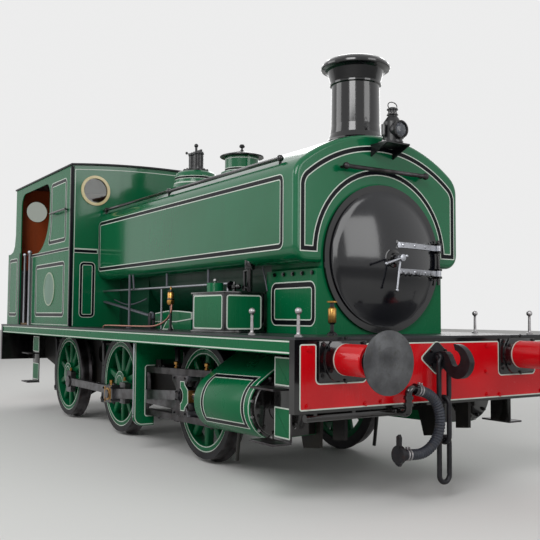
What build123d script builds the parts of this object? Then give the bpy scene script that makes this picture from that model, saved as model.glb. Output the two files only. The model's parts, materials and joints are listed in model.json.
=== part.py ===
from build123d import *
import math
import os

# A full-size tank engine with six coupled wheels, outside cylinders and a saddle tank.
# All sizes are in millimetres. +X is forward, +Y is the engine's left and +Z is up.
# The origin is under the middle of the length over the buffers, level with the bottom
# of the wheel flanges. Heights and positions are measured from it.

# Wheels and axles
tread_radius = 521
flange_depth = 28
tyre_inner_radius = 457
tyre_back_y = 680
tyre_width = 133
flange_width = 32
middle_axle_x = -318
front_wheelbase = 1930
rear_wheelbase = 1727
axle_radius = 85
hub_radius = 140
hub_face_y = 812
hub_back_y = 672
rim_inner_radius = 402
rim_inset = 8
spoke_count = 10
spoke_hub_width = 64
spoke_rim_width = 44
spoke_inner_y = 715
spoke_outer_y = 778
axle_height = tread_radius + flange_depth
tyre_face_y = tyre_back_y + tyre_width

# Cranks, coupling rods and connecting rods
crank_radius = 254
right_crank_angle = -18
left_crank_angle = right_crank_angle + 90
crank_boss_radius = 98
crank_boss_face_y = 816
crank_pin_radius = 48
driven_pin_radius = 60
pin_clearance = 0.5
collar_radius = 70
collar_thickness = 16
rod_side_clearance = 6
coupling_rod_thickness = 60
coupling_rod_depth = 86
coupling_end_length = 165
coupling_end_height = 260
knuckle_offset = 330
knuckle_radius = 78
connecting_rod_length = 1700
connecting_rod_thickness = 60
connecting_rod_front_depth = 80
connecting_rod_rear_depth = 100
small_end_radius = 75
big_end_length = 250
big_end_height = 176
big_end_thickness = 88
big_end_cap_radius = 46
coupling_rod_inner_y = crank_boss_face_y + rod_side_clearance
coupling_rod_outer_y = coupling_rod_inner_y + coupling_rod_thickness
connecting_rod_inner_y = 955
connecting_rod_outer_y = connecting_rod_inner_y + connecting_rod_thickness
motion_y = (connecting_rod_inner_y + connecting_rod_outer_y) / 2
driven_pin_end_y = connecting_rod_inner_y - 5

# Crosshead, slide bars and cylinder, along a line that rises forward from the middle axle
cylinder_incline = 1.5
crosshead_pin_radius = 38
crosshead_nut_radius = 58
crosshead_cheek_thickness = 28
crosshead_half_length = 145
slipper_thickness = 42
piston_rod_radius = 32
bar_gap_half = 172
bar_depth = 56
bar_width = 70
bar_rear_s = 1140
bracket_s = 1162
bracket_thickness = 30
bracket_outer_y = 1150
bracket_foot_y = 940
bracket_foot_depth = 100
bracket_corner_radius = 90
bracket_arm_y = 925
bracket_arm_z = 870
cylinder_rear_s = 2525
cylinder_front_s = 3376
cylinder_radius = 228
cylinder_cover_radius = 205
cylinder_cover_thickness = 40
gland_length = 100
gland_radius = 70
slide_clearance = 0.4
piston_clearance = 12
piston_rod_length = (cylinder_rear_s + 2 * crank_radius + piston_clearance
                     - crank_radius - connecting_rod_length)

# Frames, beams and footplate
frame_inner_y = 607
frame_thickness = 28
frame_outer_y = frame_inner_y + frame_thickness
beam_face_x = 3665
beam_thickness = 60
beam_bottom_z = 664
platform_half_width = 1250
platform_bottom_z = 1142
platform_thickness = 16
platform_overhang = 8
platform_top_z = platform_bottom_z + platform_thickness
valance_face_y = platform_half_width - 10
valance_thickness = 12
valance_bottom_z = 1043
axlebox_half_length = 125
axlebox_bottom = 150
axlebox_top = 165
axlebox_inner_y = 515
axlebox_outer_y = 664
frame_lower_z = 470
frame_end_z = 690
# Lower edge of the frame ahead of the front axle. Columns: X, Z
frame_front_edge = (
    (3400, 640), (3400, 420), (3265, 405), (3265, 590), (3118, 582), (3104, 325), (2900, 296), (2832, 500),
    (2250, 480),
)
frame_slot_z = 830
frame_slot_height = 210
# Columns: X, length
frame_slots = ((650, 620), (-1180, 520), (-2850, 420), (2900, 420))
stretcher_thickness = 24
# Columns: X, bottom Z, top Z
stretcher_places = (
    (3300, 720, platform_bottom_z), (2300, 500, 1100), (812, 700, 1100), (-1620, 480, 740),
    (-2900, 600, platform_bottom_z),
)

# Buffers and drawgear
buffer_y = 864
buffer_z = 1009
buffer_length = 483
buffer_head_radius = 202
buffer_barrel_radius = 105
buffer_barrel_length = 310
buffer_flange_radius = 165
buffer_flange_thickness = 22
buffer_plate_width = 400
buffer_plate_height = 262
buffer_plate_thickness = 14
buffer_ram_radius = 78
hook_z = 1000
hook_thickness = 50
hook_plate_half_width = 150
hook_plate_half_height = 118
hook_plate_thickness = 18
link_wire_radius = 18
link_length = 354
link_width = 134
link_clearance = 0.3
hook_eye_reach = 57
hook_eye_radius = link_wire_radius + 8

# Boiler, smokebox and tank
boiler_z = 1748
boiler_radius = 560
smokebox_radius = 600
smokebox_rear_x = 2380
smokebox_front_x = 3075
smokebox_half_width = 640
smokebox_side_top_z = 1655
smokebox_wall = 18
firebox_front_x = -150
firebox_rear_x = -1450
firebox_bottom_z = 760
ashpan_bottom_z = 470
ashpan_half_width = 480
ring_radius = 588
ring_inner_radius = 522
ring_thickness = 26
door_radius = 536
door_gap = 0.5
door_rim = 14
door_rise = 92
door_shell = 14
door_rim_width = 22
hinge_y = 553
hinge_offset = 34
hinge_pin_radius = 13
strap_height = 44
strap_thickness = 12
strap_heights = (1859, 1650)
hinge_pin_low_z = strap_heights[1] - 94
hinge_pin_high_z = strap_heights[0] + 66
tank_front_x = smokebox_front_x
tank_bottom_z = 1700
tank_half_width = 845
tank_peak_z = 2742
tank_top_radius = 1270
tank_shoulder_radius = 190
tank_foot_radius = 120
tank_edge_radius = 36

# Mountings on the tank, drawn from inside it and cut to its top
mounting_foot_z = tank_peak_z - 142
chimney_x = 2739
chimney_top_z = 3430
chimney_radius = 200
chimney_base_radius = 244
chimney_cap_radius = 289
chimney_bore = 170
dome_x = -146
dome_radius = 238
dome_base_radius = dome_radius + 46
dome_top_z = 2930
valve_radius = 56
valve_spacing = 112
valve_height = 216
filler_x = 882
filler_radius = 175
filler_top_z = 2927
filler_wall = 10
filler_base_radius = filler_radius + 40
lid_radius = 225
lid_rim = 12
lid_rise = 48
lid_hinge_reach = 18
lid_hinge_pin_radius = 8

# Cab and bunker
cab_front_x = -980
cab_rear_x = -3308
bunker_rear_x = -3665
cab_side_y = platform_half_width - 77
cab_plate = 12
eave_z = 3018
roof_rise = 62
roof_thickness = 22
roof_overhang = 26
roof_eave = 14
bunker_top_z = 2142
coal_board_x = -3070
coal_board_z = 1900
waist_z = 2078
opening_top_z = 2928
opening_rear_x = -3045
opening_front_x = -1788
opening_rear_radius = 180
opening_front_radius = 150
doorway_front_x = -2525
porthole_y = cab_side_y - 287
porthole_z = 2748
porthole_radius = 150
porthole_rim = 26

# Steps and fittings
step_depth = 140
step_thickness = 14
step_heights = (425, 790)
# Columns: tread's rear X, tread's front X, hanger's rear X, hanger's front X
step_places = ((3104, 3400, 3200, 3407), (-2620, -2330, -2600, -2340))
rail_radius = 17
rail_knob_radius = 28
tank_rail_y = 775
tank_rail_z = 2522
tank_rail_knobs = (-900, 780, 2770)
front_rail_x = smokebox_front_x + 63
front_rail_z = 2445
front_rail_half = 412
rail_stem_radius = 11
door_rail_top_z = 2105
door_rail_front_x = -2490
door_rail_rear_x = -2990
cab_grip_z = 2520
cab_grip_x = (-1640, -1060)
cab_grip_radius = 12
cab_grip_reach = 42
reversing_rod_y = 760
reversing_rod_z = 1571
reversing_rod_radius = 12
reversing_post_x = 612
post_y = platform_half_width - 100
post_places = (2979, 3564)
post_height = 170
box_rear_x = 1903
box_front_x = 2433
box_inner_y = 700
box_outer_y = 1075
box_top_z = 1487
box_lip = 14
reversing_rod_end_x = box_rear_x + 57
box_cap_x = box_rear_x + 113
box_cap_y = box_outer_y - 150
box_cap_radius = 70
box_cap_height = 81
box_knob_radius = 17
tank_pipe_x = box_front_x - 99
tank_pipe_y = box_inner_y + 80
tank_pipe_radius = 24
sand_pipe_x = middle_axle_x + front_wheelbase + 554
sand_pipe_y = 745
sand_pipe_radius = 17
sand_pipe_end_z = 90
lamp_shelf_z = 2655
lamp_x = 3200
lamp_radius = 78
lens_radius = 66
lens_z = lamp_shelf_z + 97
lamp_body_height = 167
lamp_height = 285
cup_radius = 30
front_cup_place = (3300, -670)
side_cup_x = 1320
side_cup_y = 1000

# Brakes and springs
brake_clearance = 8
shoe_depth = 55
shoe_half_angle = 17
shoe_inner_y = 718
shoe_outer_y = 800
hanger_pivot_z = 985
hanger_pivot_reach = 640
brake_beam_z = 330
brake_beam_radius = 25
spring_half_length = 420
spring_leaf = 13
spring_width = 76

# Brake hose, in a plane across the front of the beam
hose_x = 3765
hose_radius = 35
pipe_radius = 26
pipe_z = beam_bottom_z - pipe_radius - 6
riser_y = -365
pipe_end_y = -1150
pipe_clip_places = (-1080, -760, -450)
# Columns: Y, Z
hose_route = (
    (-290, 790), (-184, 767), (-100, 697), (-60, 596), (-71, 488),
    (-132, 398), (-228, 347), (-336, 347), (-406, 354),
)

sides = (("right", -1, right_crank_angle), ("left", 1, left_crank_angle))
axles = (
    ("front", middle_axle_x + front_wheelbase),
    ("middle", middle_axle_x),
    ("rear", middle_axle_x - rear_wheelbase),
)
ends = (("front", 1), ("rear", -1))


# Plain shapes that the sub-parts are made from
def block(x_low, x_high, y_low, y_high, z_low, z_high):
    centre = Pos((x_low + x_high) / 2, (y_low + y_high) / 2, (z_low + z_high) / 2)
    return centre * Box(abs(x_high - x_low), abs(y_high - y_low), abs(z_high - z_low))


def rod_along_x(radius, y, z, x_low, x_high):
    return Pos((x_low + x_high) / 2, y, z) * Rot(0, 90, 0) * Cylinder(radius, x_high - x_low)


def rod_along_y(radius, x, z, y_low, y_high):
    return Pos(x, (y_low + y_high) / 2, z) * Rot(90, 0, 0) * Cylinder(radius, abs(y_high - y_low))


def rod_along_z(radius, x, y, z_low, z_high):
    return Pos(x, y, (z_low + z_high) / 2) * Cylinder(radius, z_high - z_low)


def side_plate(face, y_one, y_two):
    # The face is drawn with X and Z, and is as thick as the two Y values are apart.
    return Pos(0, max(y_one, y_two), 0) * extrude(Plane.XZ * face, amount=abs(y_two - y_one))


def cross_plate(face, x_low, x_high):
    # The face is drawn with Y and Z.
    return Pos(x_low, 0, 0) * extrude(Plane.YZ * face, amount=x_high - x_low)


def polygon(*points):
    return make_face(Polyline(*points, close=True))


def turned_about_x(points, z):
    # The points are distances along X and radii about a line at height z.
    return Pos(0, 0, z) * revolve(polygon(*points), Axis.X)


def turned_about_z(points, x):
    # The points are radii about an upright line at x, and heights.
    return Pos(x, 0, 0) * revolve(Plane.XZ * polygon(*points), Axis.Z)


def crank_point(axle_x, angle):
    turn = math.radians(angle)
    return axle_x + crank_radius * math.cos(turn), axle_height + crank_radius * math.sin(turn)


# Wheels
def wheel_tyre(side, axle_x):
    flange_radius = tread_radius + flange_depth
    points = (
        (tyre_inner_radius, tyre_back_y),
        (flange_radius - 11, tyre_back_y),
        (flange_radius, tyre_back_y + 9),
        (flange_radius, tyre_back_y + 17),
        (tread_radius + 2, tyre_back_y + flange_width),
        (tread_radius, tyre_back_y + flange_width + 12),
        (tread_radius - 3, tyre_face_y - 6),
        (tread_radius - 8, tyre_face_y),
        (tyre_inner_radius, tyre_face_y),
    )
    outline = polygon(*[(radius, side * y) for radius, y in points])
    return Pos(axle_x, 0, axle_height) * revolve(outline, Axis.Y)


def wheel_centre(side, angle, pin_radius, pin_end_y, collar):
    rim_low = tyre_back_y + rim_inset
    rim_high = tyre_face_y - rim_inset
    rim = rod_along_y(tyre_inner_radius, 0, 0, side * rim_low, side * rim_high)
    rim -= rod_along_y(rim_inner_radius, 0, 0, side * (rim_low - 1), side * (rim_high + 1))
    wheel = rim + rod_along_y(hub_radius, 0, 0, side * hub_back_y, side * hub_face_y)
    spoke = polygon(
        (hub_radius / 2, -spoke_hub_width / 2),
        (rim_inner_radius + 10, -spoke_rim_width / 2),
        (rim_inner_radius + 10, spoke_rim_width / 2),
        (hub_radius / 2, spoke_hub_width / 2),
    )
    for number in range(spoke_count):
        turn = angle + number * 360 / spoke_count
        wheel += side_plate(Rot(0, 0, turn) * spoke, side * spoke_inner_y, side * spoke_outer_y)
    boss_face = Circle(crank_boss_radius)
    web_face = polygon(
        (-crank_radius, -hub_radius * 0.85),
        (0, -crank_boss_radius),
        (0, crank_boss_radius),
        (-crank_radius, hub_radius * 0.85),
    )
    boss_face = Rot(0, 0, angle) * Pos(crank_radius, 0) * (boss_face + web_face)
    wheel += side_plate(boss_face, side * (spoke_inner_y - 8), side * crank_boss_face_y)
    pin_x = crank_radius * math.cos(math.radians(angle))
    pin_z = crank_radius * math.sin(math.radians(angle))
    wheel += rod_along_y(pin_radius, pin_x, pin_z, side * spoke_inner_y, side * pin_end_y)
    if collar:
        collar_y = pin_end_y - collar_thickness
        wheel += rod_along_y(collar_radius, pin_x, pin_z, side * collar_y, side * pin_end_y)
    return wheel


def wheels(name, axle_x):
    driven = name == "middle"
    pin_radius = driven_pin_radius if driven else crank_pin_radius
    pin_end_y = driven_pin_end_y if driven else coupling_rod_outer_y + 2 + collar_thickness
    pieces = [rod_along_y(axle_radius, 0, 0, -hub_face_y, hub_face_y)]
    for _, side, angle in sides:
        centre = wheel_centre(side, angle, pin_radius, pin_end_y, not driven)
        pieces.append(centre - rod_along_y(axle_radius, 0, 0, side * (hub_back_y - 1),
                                           side * (hub_face_y + 9)))
    return Pos(axle_x, 0, axle_height) * Compound(children=pieces)


# Rods and motion
def coupling_rod(side, angle):
    pins = [crank_point(axle_x, angle) for _, axle_x in axles]
    pin_z = pins[0][1]
    front_x, middle_x, rear_x = (pin[0] for pin in pins)
    half = coupling_rod_depth / 2
    inner = side * coupling_rod_inner_y
    outer = side * coupling_rod_outer_y
    rod = block(rear_x, front_x, inner, outer, pin_z - half, pin_z + half)
    for pin_x, height in (
        (front_x, coupling_end_height),
        (middle_x, coupling_end_height * 0.85),
        (rear_x, coupling_end_height),
    ):
        end = Pos(pin_x, pin_z) * RectangleRounded(coupling_end_length, height, 26)
        rod += side_plate(end, inner, outer)
    rod += rod_along_y(knuckle_radius, middle_x - knuckle_offset, pin_z, inner, outer)
    for pin_x, radius in (
        (front_x, crank_pin_radius),
        (middle_x, driven_pin_radius),
        (rear_x, crank_pin_radius),
    ):
        rod -= rod_along_y(radius + pin_clearance, pin_x, pin_z, inner - side, outer + side)
    return rod


def motion_place(s, side):
    # A place on the cylinder's line, s in front of the middle axle.
    return Pos(middle_axle_x, 0, axle_height) * Rot(0, -cylinder_incline, 0) * Pos(s, side * motion_y, 0)


def crosshead_pin_s(angle):
    # The crank's angle is taken from the cylinder's line.
    turn = math.radians(angle - cylinder_incline)
    across = crank_radius * math.sin(turn)
    return crank_radius * math.cos(turn) + math.sqrt(connecting_rod_length ** 2 - across ** 2)


def connecting_rod(side, angle):
    turn = math.radians(angle - cylinder_incline)
    lean = math.degrees(math.asin(crank_radius * math.sin(turn) / connecting_rod_length))
    inner = side * (connecting_rod_inner_y - motion_y)
    outer = side * (connecting_rod_outer_y - motion_y)
    bar = polygon(
        (0, -connecting_rod_front_depth / 2),
        (0, connecting_rod_front_depth / 2),
        (-connecting_rod_length, connecting_rod_rear_depth / 2),
        (-connecting_rod_length, -connecting_rod_rear_depth / 2),
    )
    rod = side_plate(bar, inner, outer) + rod_along_y(small_end_radius, 0, 0, inner, outer)
    rod -= rod_along_y(crosshead_pin_radius + pin_clearance, 0, 0, inner - side, outer + side)
    big_end = Pos(-connecting_rod_length, 0) * RectangleRounded(big_end_length, big_end_height, 20)
    big_end_outer = inner + side * big_end_thickness
    rod += side_plate(big_end, inner, big_end_outer)
    cap_end = big_end_outer + side * 16
    rod += rod_along_y(big_end_cap_radius, -connecting_rod_length, 0, big_end_outer, cap_end)
    return motion_place(crosshead_pin_s(angle), side) * Rot(0, lean, 0) * rod


def crosshead(side, angle):
    half = crosshead_half_length
    slide_face = bar_gap_half - slide_clearance
    slipper_back = slide_face - slipper_thickness
    cheek = polygon(
        (-half, slipper_back), (half, slipper_back), (half * 0.6, 70), (half, 48),
        (half, -48), (half * 0.6, -70), (half, -slipper_back), (-half, -slipper_back),
        (-half * 0.5, -62), (-half * 0.5, 62),
    )
    inside = connecting_rod_thickness / 2 + 5
    outside = inside + crosshead_cheek_thickness
    head = side_plate(cheek, inside, outside) + side_plate(cheek, -outside, -inside)
    for level in (1, -1):
        head += block(-half, half, -outside, outside, level * slipper_back, level * slide_face)
    head += block(small_end_radius + 9, half, -outside, outside, -48, 48)
    pin_end = outside + 14
    head += rod_along_y(crosshead_pin_radius, 0, 0, -outside, outside)
    head += rod_along_y(crosshead_nut_radius, 0, 0, side * outside, side * pin_end)
    head += rod_along_x(piston_rod_radius, 0, 0, half, piston_rod_length)
    return motion_place(crosshead_pin_s(angle), side) * head


def slide_bars(side):
    bars = []
    for level in (1, -1):
        low = level * bar_gap_half
        high = level * (bar_gap_half + bar_depth)
        bars.append(block(bar_rear_s, cylinder_rear_s - cylinder_cover_thickness,
                          -bar_width / 2, bar_width / 2, low, high))
    return motion_place(0, side) * Compound(children=bars)


def cylinder(side):
    # Drawn about the cylinder's own line. The casing runs inward to the frame.
    length = cylinder_front_s - cylinder_rear_s
    frame_reach = motion_y - frame_outer_y
    slope = math.radians(56)
    casing = polygon(
        (-cylinder_radius * math.cos(slope), cylinder_radius * math.sin(slope)),
        (225, 426),
        (frame_reach, 426),
        (frame_reach, -cylinder_radius + 12),
        (0, -cylinder_radius),
    )
    section = Circle(cylinder_radius) + casing
    if side > 0:
        section = mirror(section, Plane.YZ)
    bore = piston_rod_radius + pin_clearance
    bore_end = 2 * crank_radius + 2 * piston_clearance
    body = cross_plate(section, 0, length) - rod_along_x(bore, 0, 0, -1, bore_end)
    front_cover = rod_along_x(cylinder_cover_radius, 0, 0, length, length + cylinder_cover_thickness)
    front_cover += rod_along_x(cylinder_cover_radius * 0.45, 0, 0, length + cylinder_cover_thickness,
                               length + cylinder_cover_thickness + 14)
    rear_cover = rod_along_x(cylinder_cover_radius, 0, 0, -cylinder_cover_thickness, 0)
    lug = bar_gap_half + bar_depth
    rear_cover += block(-cylinder_cover_thickness, 0, -bar_width / 2, bar_width / 2, -lug, lug)
    gland_back = -cylinder_cover_thickness - gland_length
    rear_cover += rod_along_x(gland_radius, 0, 0, gland_back, -cylinder_cover_thickness)
    rear_cover -= rod_along_x(bore, 0, 0, gland_back - 1, 1)
    return motion_place(cylinder_rear_s, side) * Compound(children=[body, front_cover, rear_cover])


def motion_bracket(side):
    lean = math.radians(cylinder_incline)
    plate_x = middle_axle_x + bracket_s
    line_z = axle_height + bracket_s * math.sin(lean)
    bar_out = (bar_gap_half + bar_depth) * math.cos(lean)
    top = line_z + bar_out + 1
    bottom = line_z - bar_out - 1
    column_y = connecting_rod_outer_y + 10
    outline = polygon(
        (frame_outer_y, platform_bottom_z),
        (bracket_outer_y, platform_bottom_z),
        (bracket_outer_y, bottom - bracket_foot_depth),
        (bracket_foot_y, bottom - bracket_foot_depth),
        (bracket_foot_y, bottom),
        (column_y, bottom),
        (column_y, top),
        (bracket_arm_y, top),
        (bracket_arm_y, bracket_arm_z),
        (frame_outer_y, bracket_arm_z),
    )
    corners = outline.vertices().sort_by(Axis.X)[-2:].sort_by(Axis.Y)
    outline = fillet(corners[:1], bracket_corner_radius)
    if side < 0:
        outline = mirror(outline, Plane.YZ)
    return cross_plate(outline, plate_x - bracket_thickness / 2, plate_x + bracket_thickness / 2)


# Frames
def frame_plate(side):
    beam_back_x = beam_face_x - beam_thickness
    outline = [(beam_back_x, platform_bottom_z), (beam_back_x, frame_end_z), *frame_front_edge]
    horn_low = axle_height - axlebox_bottom - 75
    for _, axle_x in axles:
        outline += [(axle_x + 320, horn_low), (axle_x - 320, horn_low)]
        outline += [(axle_x - 480, frame_lower_z)]
        if axle_x > axles[2][1]:
            outline += [(axle_x - 1140 if axle_x > 0 else axle_x - 1250, frame_lower_z)]
    outline += [(-beam_back_x, frame_end_z), (-beam_back_x, platform_bottom_z)]
    plate = side_plate(polygon(*outline), side * frame_inner_y, side * frame_outer_y)
    horn = axlebox_half_length + slide_clearance
    for _, axle_x in axles:
        plate -= block(axle_x - horn, axle_x + horn, side * (frame_inner_y - 1), side * (frame_outer_y + 1),
                       axle_height - axlebox_bottom - slide_clearance, axle_height + axlebox_top + 20)
    for hole_x, hole_length in frame_slots:
        hole = Pos(hole_x, frame_slot_z) * SlotOverall(hole_length, frame_slot_height)
        plate -= side_plate(hole, side * (frame_inner_y - 1), side * (frame_outer_y + 1))
    return plate


def frame_stretchers():
    pieces = []
    half = stretcher_thickness / 2
    for x, low, high in stretcher_places:
        pieces.append(block(x - half, x + half, -frame_inner_y, frame_inner_y, low, high))
    return Compound(children=pieces + [ashpan()])


def axleboxes():
    boxes = []
    for _, axle_x in axles:
        for _, side, _ in sides:
            box = block(axle_x - axlebox_half_length, axle_x + axlebox_half_length,
                        side * axlebox_inner_y, side * axlebox_outer_y,
                        axle_height - axlebox_bottom, axle_height + axlebox_top)
            box -= rod_along_y(axle_radius + pin_clearance, axle_x, axle_height,
                               side * (axlebox_inner_y - 1), side * (axlebox_outer_y + 1))
            boxes.append(box)
    return Compound(children=boxes + leaf_springs())


def buffer_beam(end):
    return block(end * (beam_face_x - beam_thickness), end * beam_face_x,
                 -platform_half_width, platform_half_width, beam_bottom_z, platform_bottom_z)


def footplate():
    reach = beam_face_x + platform_overhang
    plate = block(-reach, reach, -platform_half_width, platform_half_width,
                  platform_bottom_z, platform_top_z)
    return plate - block(firebox_rear_x - 8, smokebox_rear_x - 5, -boiler_radius - 30, boiler_radius + 30,
                         platform_bottom_z - 1, platform_top_z + 1)


def valance(side):
    reach = beam_face_x - beam_thickness
    return block(-reach, reach, side * (valance_face_y - valance_thickness), side * valance_face_y,
                 valance_bottom_z, platform_bottom_z)


# Buffers and drawgear
def buffer_housings(end):
    pieces = []
    for _, side, _ in sides:
        plate = block(0, buffer_plate_thickness, -buffer_plate_width / 2, buffer_plate_width / 2,
                      -buffer_plate_height / 2, buffer_plate_height / 2)
        flange_end = buffer_plate_thickness + buffer_flange_thickness
        plate = Pos(0, 0, -8) * plate
        flange = rod_along_x(buffer_flange_radius, 0, 0, buffer_plate_thickness, flange_end)
        flange &= block(0, flange_end, -buffer_flange_radius, buffer_flange_radius,
                        -buffer_plate_height / 2 - 8, buffer_plate_height / 2 - 8)
        housing = plate + flange
        housing += rod_along_x(buffer_barrel_radius, 0, 0, flange_end, buffer_barrel_length)
        housing -= rod_along_x(buffer_ram_radius + 1, 0, 0, buffer_plate_thickness + 40,
                               buffer_barrel_length + 1)
        pieces.append(Pos(beam_face_x, side * buffer_y, buffer_z) * housing)
    group = Compound(children=pieces)
    return group if end > 0 else Rot(0, 0, 180) * group


def buffer_heads(end):
    pieces = []
    for _, side, _ in sides:
        points = (
            (buffer_plate_thickness + 60, 0),
            (buffer_plate_thickness + 60, buffer_ram_radius),
            (buffer_length - 54, buffer_ram_radius),
            (buffer_length - 26, buffer_head_radius - 8),
            (buffer_length - 20, buffer_head_radius),
            (buffer_length - 10, buffer_head_radius),
            (buffer_length, buffer_head_radius * 0.5),
            (buffer_length, 0),
        )
        pieces.append(Pos(beam_face_x, side * buffer_y, 0) * turned_about_x(points, buffer_z))
    group = Compound(children=pieces)
    return group if end > 0 else Rot(0, 0, 180) * group


def chain_link(width, length):
    # An oval ring with its long way upright, drawn with X and Z.
    bend = (width - 2 * link_wire_radius) / 2
    straight = length / 2 - link_wire_radius - bend
    wire = Pos(bend, 0) * Circle(link_wire_radius)
    ring = extrude(wire, amount=straight) + extrude(wire, amount=-straight)
    half_bend = revolve(Plane.XY * wire, Axis((0, 0, 0), (0, 1, 0)), 180)
    ring += mirror(ring, Plane.YZ)
    top = Pos(0, 0, straight) * half_bend
    if top.bounding_box().max.Z < straight + bend / 2:
        top = mirror(top, Plane.XY.offset(straight))
    return ring + top + mirror(top, Plane.XY)


def drawgear(end):
    plate_end = beam_face_x + hook_plate_thickness
    diamond = polygon((-hook_plate_half_width, 0), (0, -hook_plate_half_height),
                      (hook_plate_half_width, 0), (0, hook_plate_half_height))
    diamond = fillet(diamond.vertices(), 26)
    plate = cross_plate(Pos(0, hook_z) * diamond, beam_face_x, plate_end)
    # The hook is drawn from the plate's face and its own middle line.
    neck = polygon((0, -42), (62, -60), (118, -104), (150, -20), (120, 30), (96, 48), (50, 50), (0, 42))
    bowl = make_face([
        ThreePointArc((118, -104), (250, -128), (326, -15)),
        ThreePointArc((326, -15), (282, 64), (175, 106)),
        Line((175, 106), (190, 62)),
        ThreePointArc((190, 62), (240, 4), (203, -49)),
        ThreePointArc((203, -49), (168, -46), (150, -20)),
        Line((150, -20), (118, -104)),
    ])
    hook = side_plate(Pos(plate_end, hook_z) * (neck + bowl), -hook_thickness / 2, hook_thickness / 2)
    eye_x = plate_end + hook_eye_reach
    hook -= rod_along_y(hook_eye_radius, eye_x, hook_z, -hook_thickness, hook_thickness)
    pieces = [plate + hook]
    # The first link bends through the eye, and each next one hangs in the bend above it.
    bend = link_width / 2 - link_wire_radius
    drop = bend - math.sqrt((bend - link_wire_radius) ** 2 - (hook_thickness / 2) ** 2)
    top_z = hook_z - hook_eye_radius + drop + link_wire_radius + link_clearance
    step = link_length - 4 * link_wire_radius - link_clearance
    for number in range(3):
        centre_z = top_z - link_length / 2 - number * step
        turn = 90 if number % 2 == 0 else 0
        pieces.append(Pos(eye_x, 0, centre_z) * Rot(0, 0, turn) * chain_link(link_width, link_length))
    group = Compound(children=pieces)
    return group if end > 0 else Rot(0, 0, 180) * group


# Boiler, smokebox and tank
def boiler():
    barrel = rod_along_x(boiler_radius, 0, boiler_z, firebox_front_x, smokebox_rear_x)
    firebox = rod_along_x(boiler_radius, 0, boiler_z, firebox_rear_x, firebox_front_x)
    firebox += block(firebox_rear_x, firebox_front_x, -boiler_radius, boiler_radius,
                     firebox_bottom_z, boiler_z)
    return Compound(children=[barrel, firebox])


def smokebox():
    body = rod_along_x(smokebox_radius, 0, boiler_z, smokebox_rear_x, smokebox_front_x)
    body -= block(smokebox_rear_x - 1, smokebox_front_x + 1, -smokebox_half_width, smokebox_half_width,
                  boiler_z - smokebox_radius - 1, platform_top_z)
    body += block(smokebox_rear_x, smokebox_front_x, -smokebox_half_width, smokebox_half_width,
                  platform_top_z, smokebox_side_top_z)
    return body - rod_along_x(ring_inner_radius, 0, boiler_z,
                              smokebox_rear_x + smokebox_wall, smokebox_front_x + 1)


def domed_sheet(back, front, back_x):
    # Part of a ball between two offsets from the door's outside, with its edge filled back to back_x.
    edge_radius = door_radius - door_rim_width
    inner_radius = edge_radius - door_shell
    crown_x = smokebox_front_x + ring_thickness + door_gap + door_rim + door_rise
    ball_radius = (edge_radius ** 2 + door_rise ** 2) / (2 * door_rise)
    outer = CenterArc((crown_x + front - ball_radius, 0), ball_radius, 0,
                      math.degrees(math.asin(edge_radius / ball_radius)))
    inner = CenterArc((crown_x + back - ball_radius, 0), ball_radius, 0,
                      math.degrees(math.asin(inner_radius / ball_radius)))
    half = make_face([
        Line(inner @ 0, outer @ 0),
        outer,
        Line(outer @ 1, (back_x, edge_radius)),
        Line((back_x, edge_radius), (back_x, inner_radius)),
        Line((back_x, inner_radius), inner @ 1),
        inner,
    ])
    return Pos(0, 0, boiler_z) * revolve(half, Axis.X)


def smokebox_door():
    seat = smokebox_front_x + ring_thickness + door_gap
    rim_front = seat + door_rim
    hinge_x = seat + hinge_offset
    door = domed_sheet(-door_shell, 0, seat)
    rim = rod_along_x(door_radius, 0, boiler_z, seat, rim_front)
    rim -= rod_along_x(door_radius - door_rim_width - 5, 0, boiler_z, seat - 1, rim_front + 1)
    door += rim
    for strap_z in strap_heights:
        low = strap_z - strap_height / 2
        high = strap_z + strap_height / 2
        strap = domed_sheet(-door_shell / 2, strap_thickness, seat + 2)
        strap &= block(seat + 5, rim_front + 2 * door_rise, 50, door_radius - 30, low, high)
        door += strap
        door += block(seat + 6, rim_front + strap_thickness + 8, door_radius - 70, hinge_y, low, high)
        door += rod_along_z(24, hinge_x, hinge_y, low, high)
        door -= rod_along_z(hinge_pin_radius + pin_clearance, hinge_x, hinge_y, low - 1, high + 1)
    boss_x = rim_front + door_rise
    return door + rod_along_x(46, 0, boiler_z, boss_x - 12, boss_x + 26)


def smokebox_ring():
    ring = rod_along_x(ring_radius, 0, boiler_z, smokebox_front_x, smokebox_front_x + ring_thickness)
    ring -= rod_along_x(ring_inner_radius, 0, boiler_z, smokebox_front_x - 1,
                        smokebox_front_x + ring_thickness + 1)
    hinge_x = smokebox_front_x + ring_thickness + door_gap + hinge_offset
    ring += rod_along_z(hinge_pin_radius, hinge_x, hinge_y, hinge_pin_low_z, hinge_pin_high_z)
    for strap_z in strap_heights:
        for level in (1, -1):
            low = strap_z + level * (strap_height / 2 + 1)
            ring += block(smokebox_front_x, hinge_x + 22, hinge_y - 12, hinge_y + 22, low, low + level * 18)
    return ring


def tank_face():
    top_centre_z = tank_peak_z - tank_top_radius
    shoulder_z = top_centre_z + math.sqrt(tank_top_radius ** 2 - tank_half_width ** 2)
    outline = make_face([
        Line((-tank_half_width, shoulder_z), (-tank_half_width, tank_bottom_z)),
        Line((-tank_half_width, tank_bottom_z), (tank_half_width, tank_bottom_z)),
        Line((tank_half_width, tank_bottom_z), (tank_half_width, shoulder_z)),
        ThreePointArc((tank_half_width, shoulder_z), (0, tank_peak_z), (-tank_half_width, shoulder_z)),
    ])
    outline = fillet(outline.vertices().sort_by(Axis.Y)[:2], tank_foot_radius)
    return fillet(outline.vertices().filter_by(lambda v: v.Y > shoulder_z - 1), tank_shoulder_radius)


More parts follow.
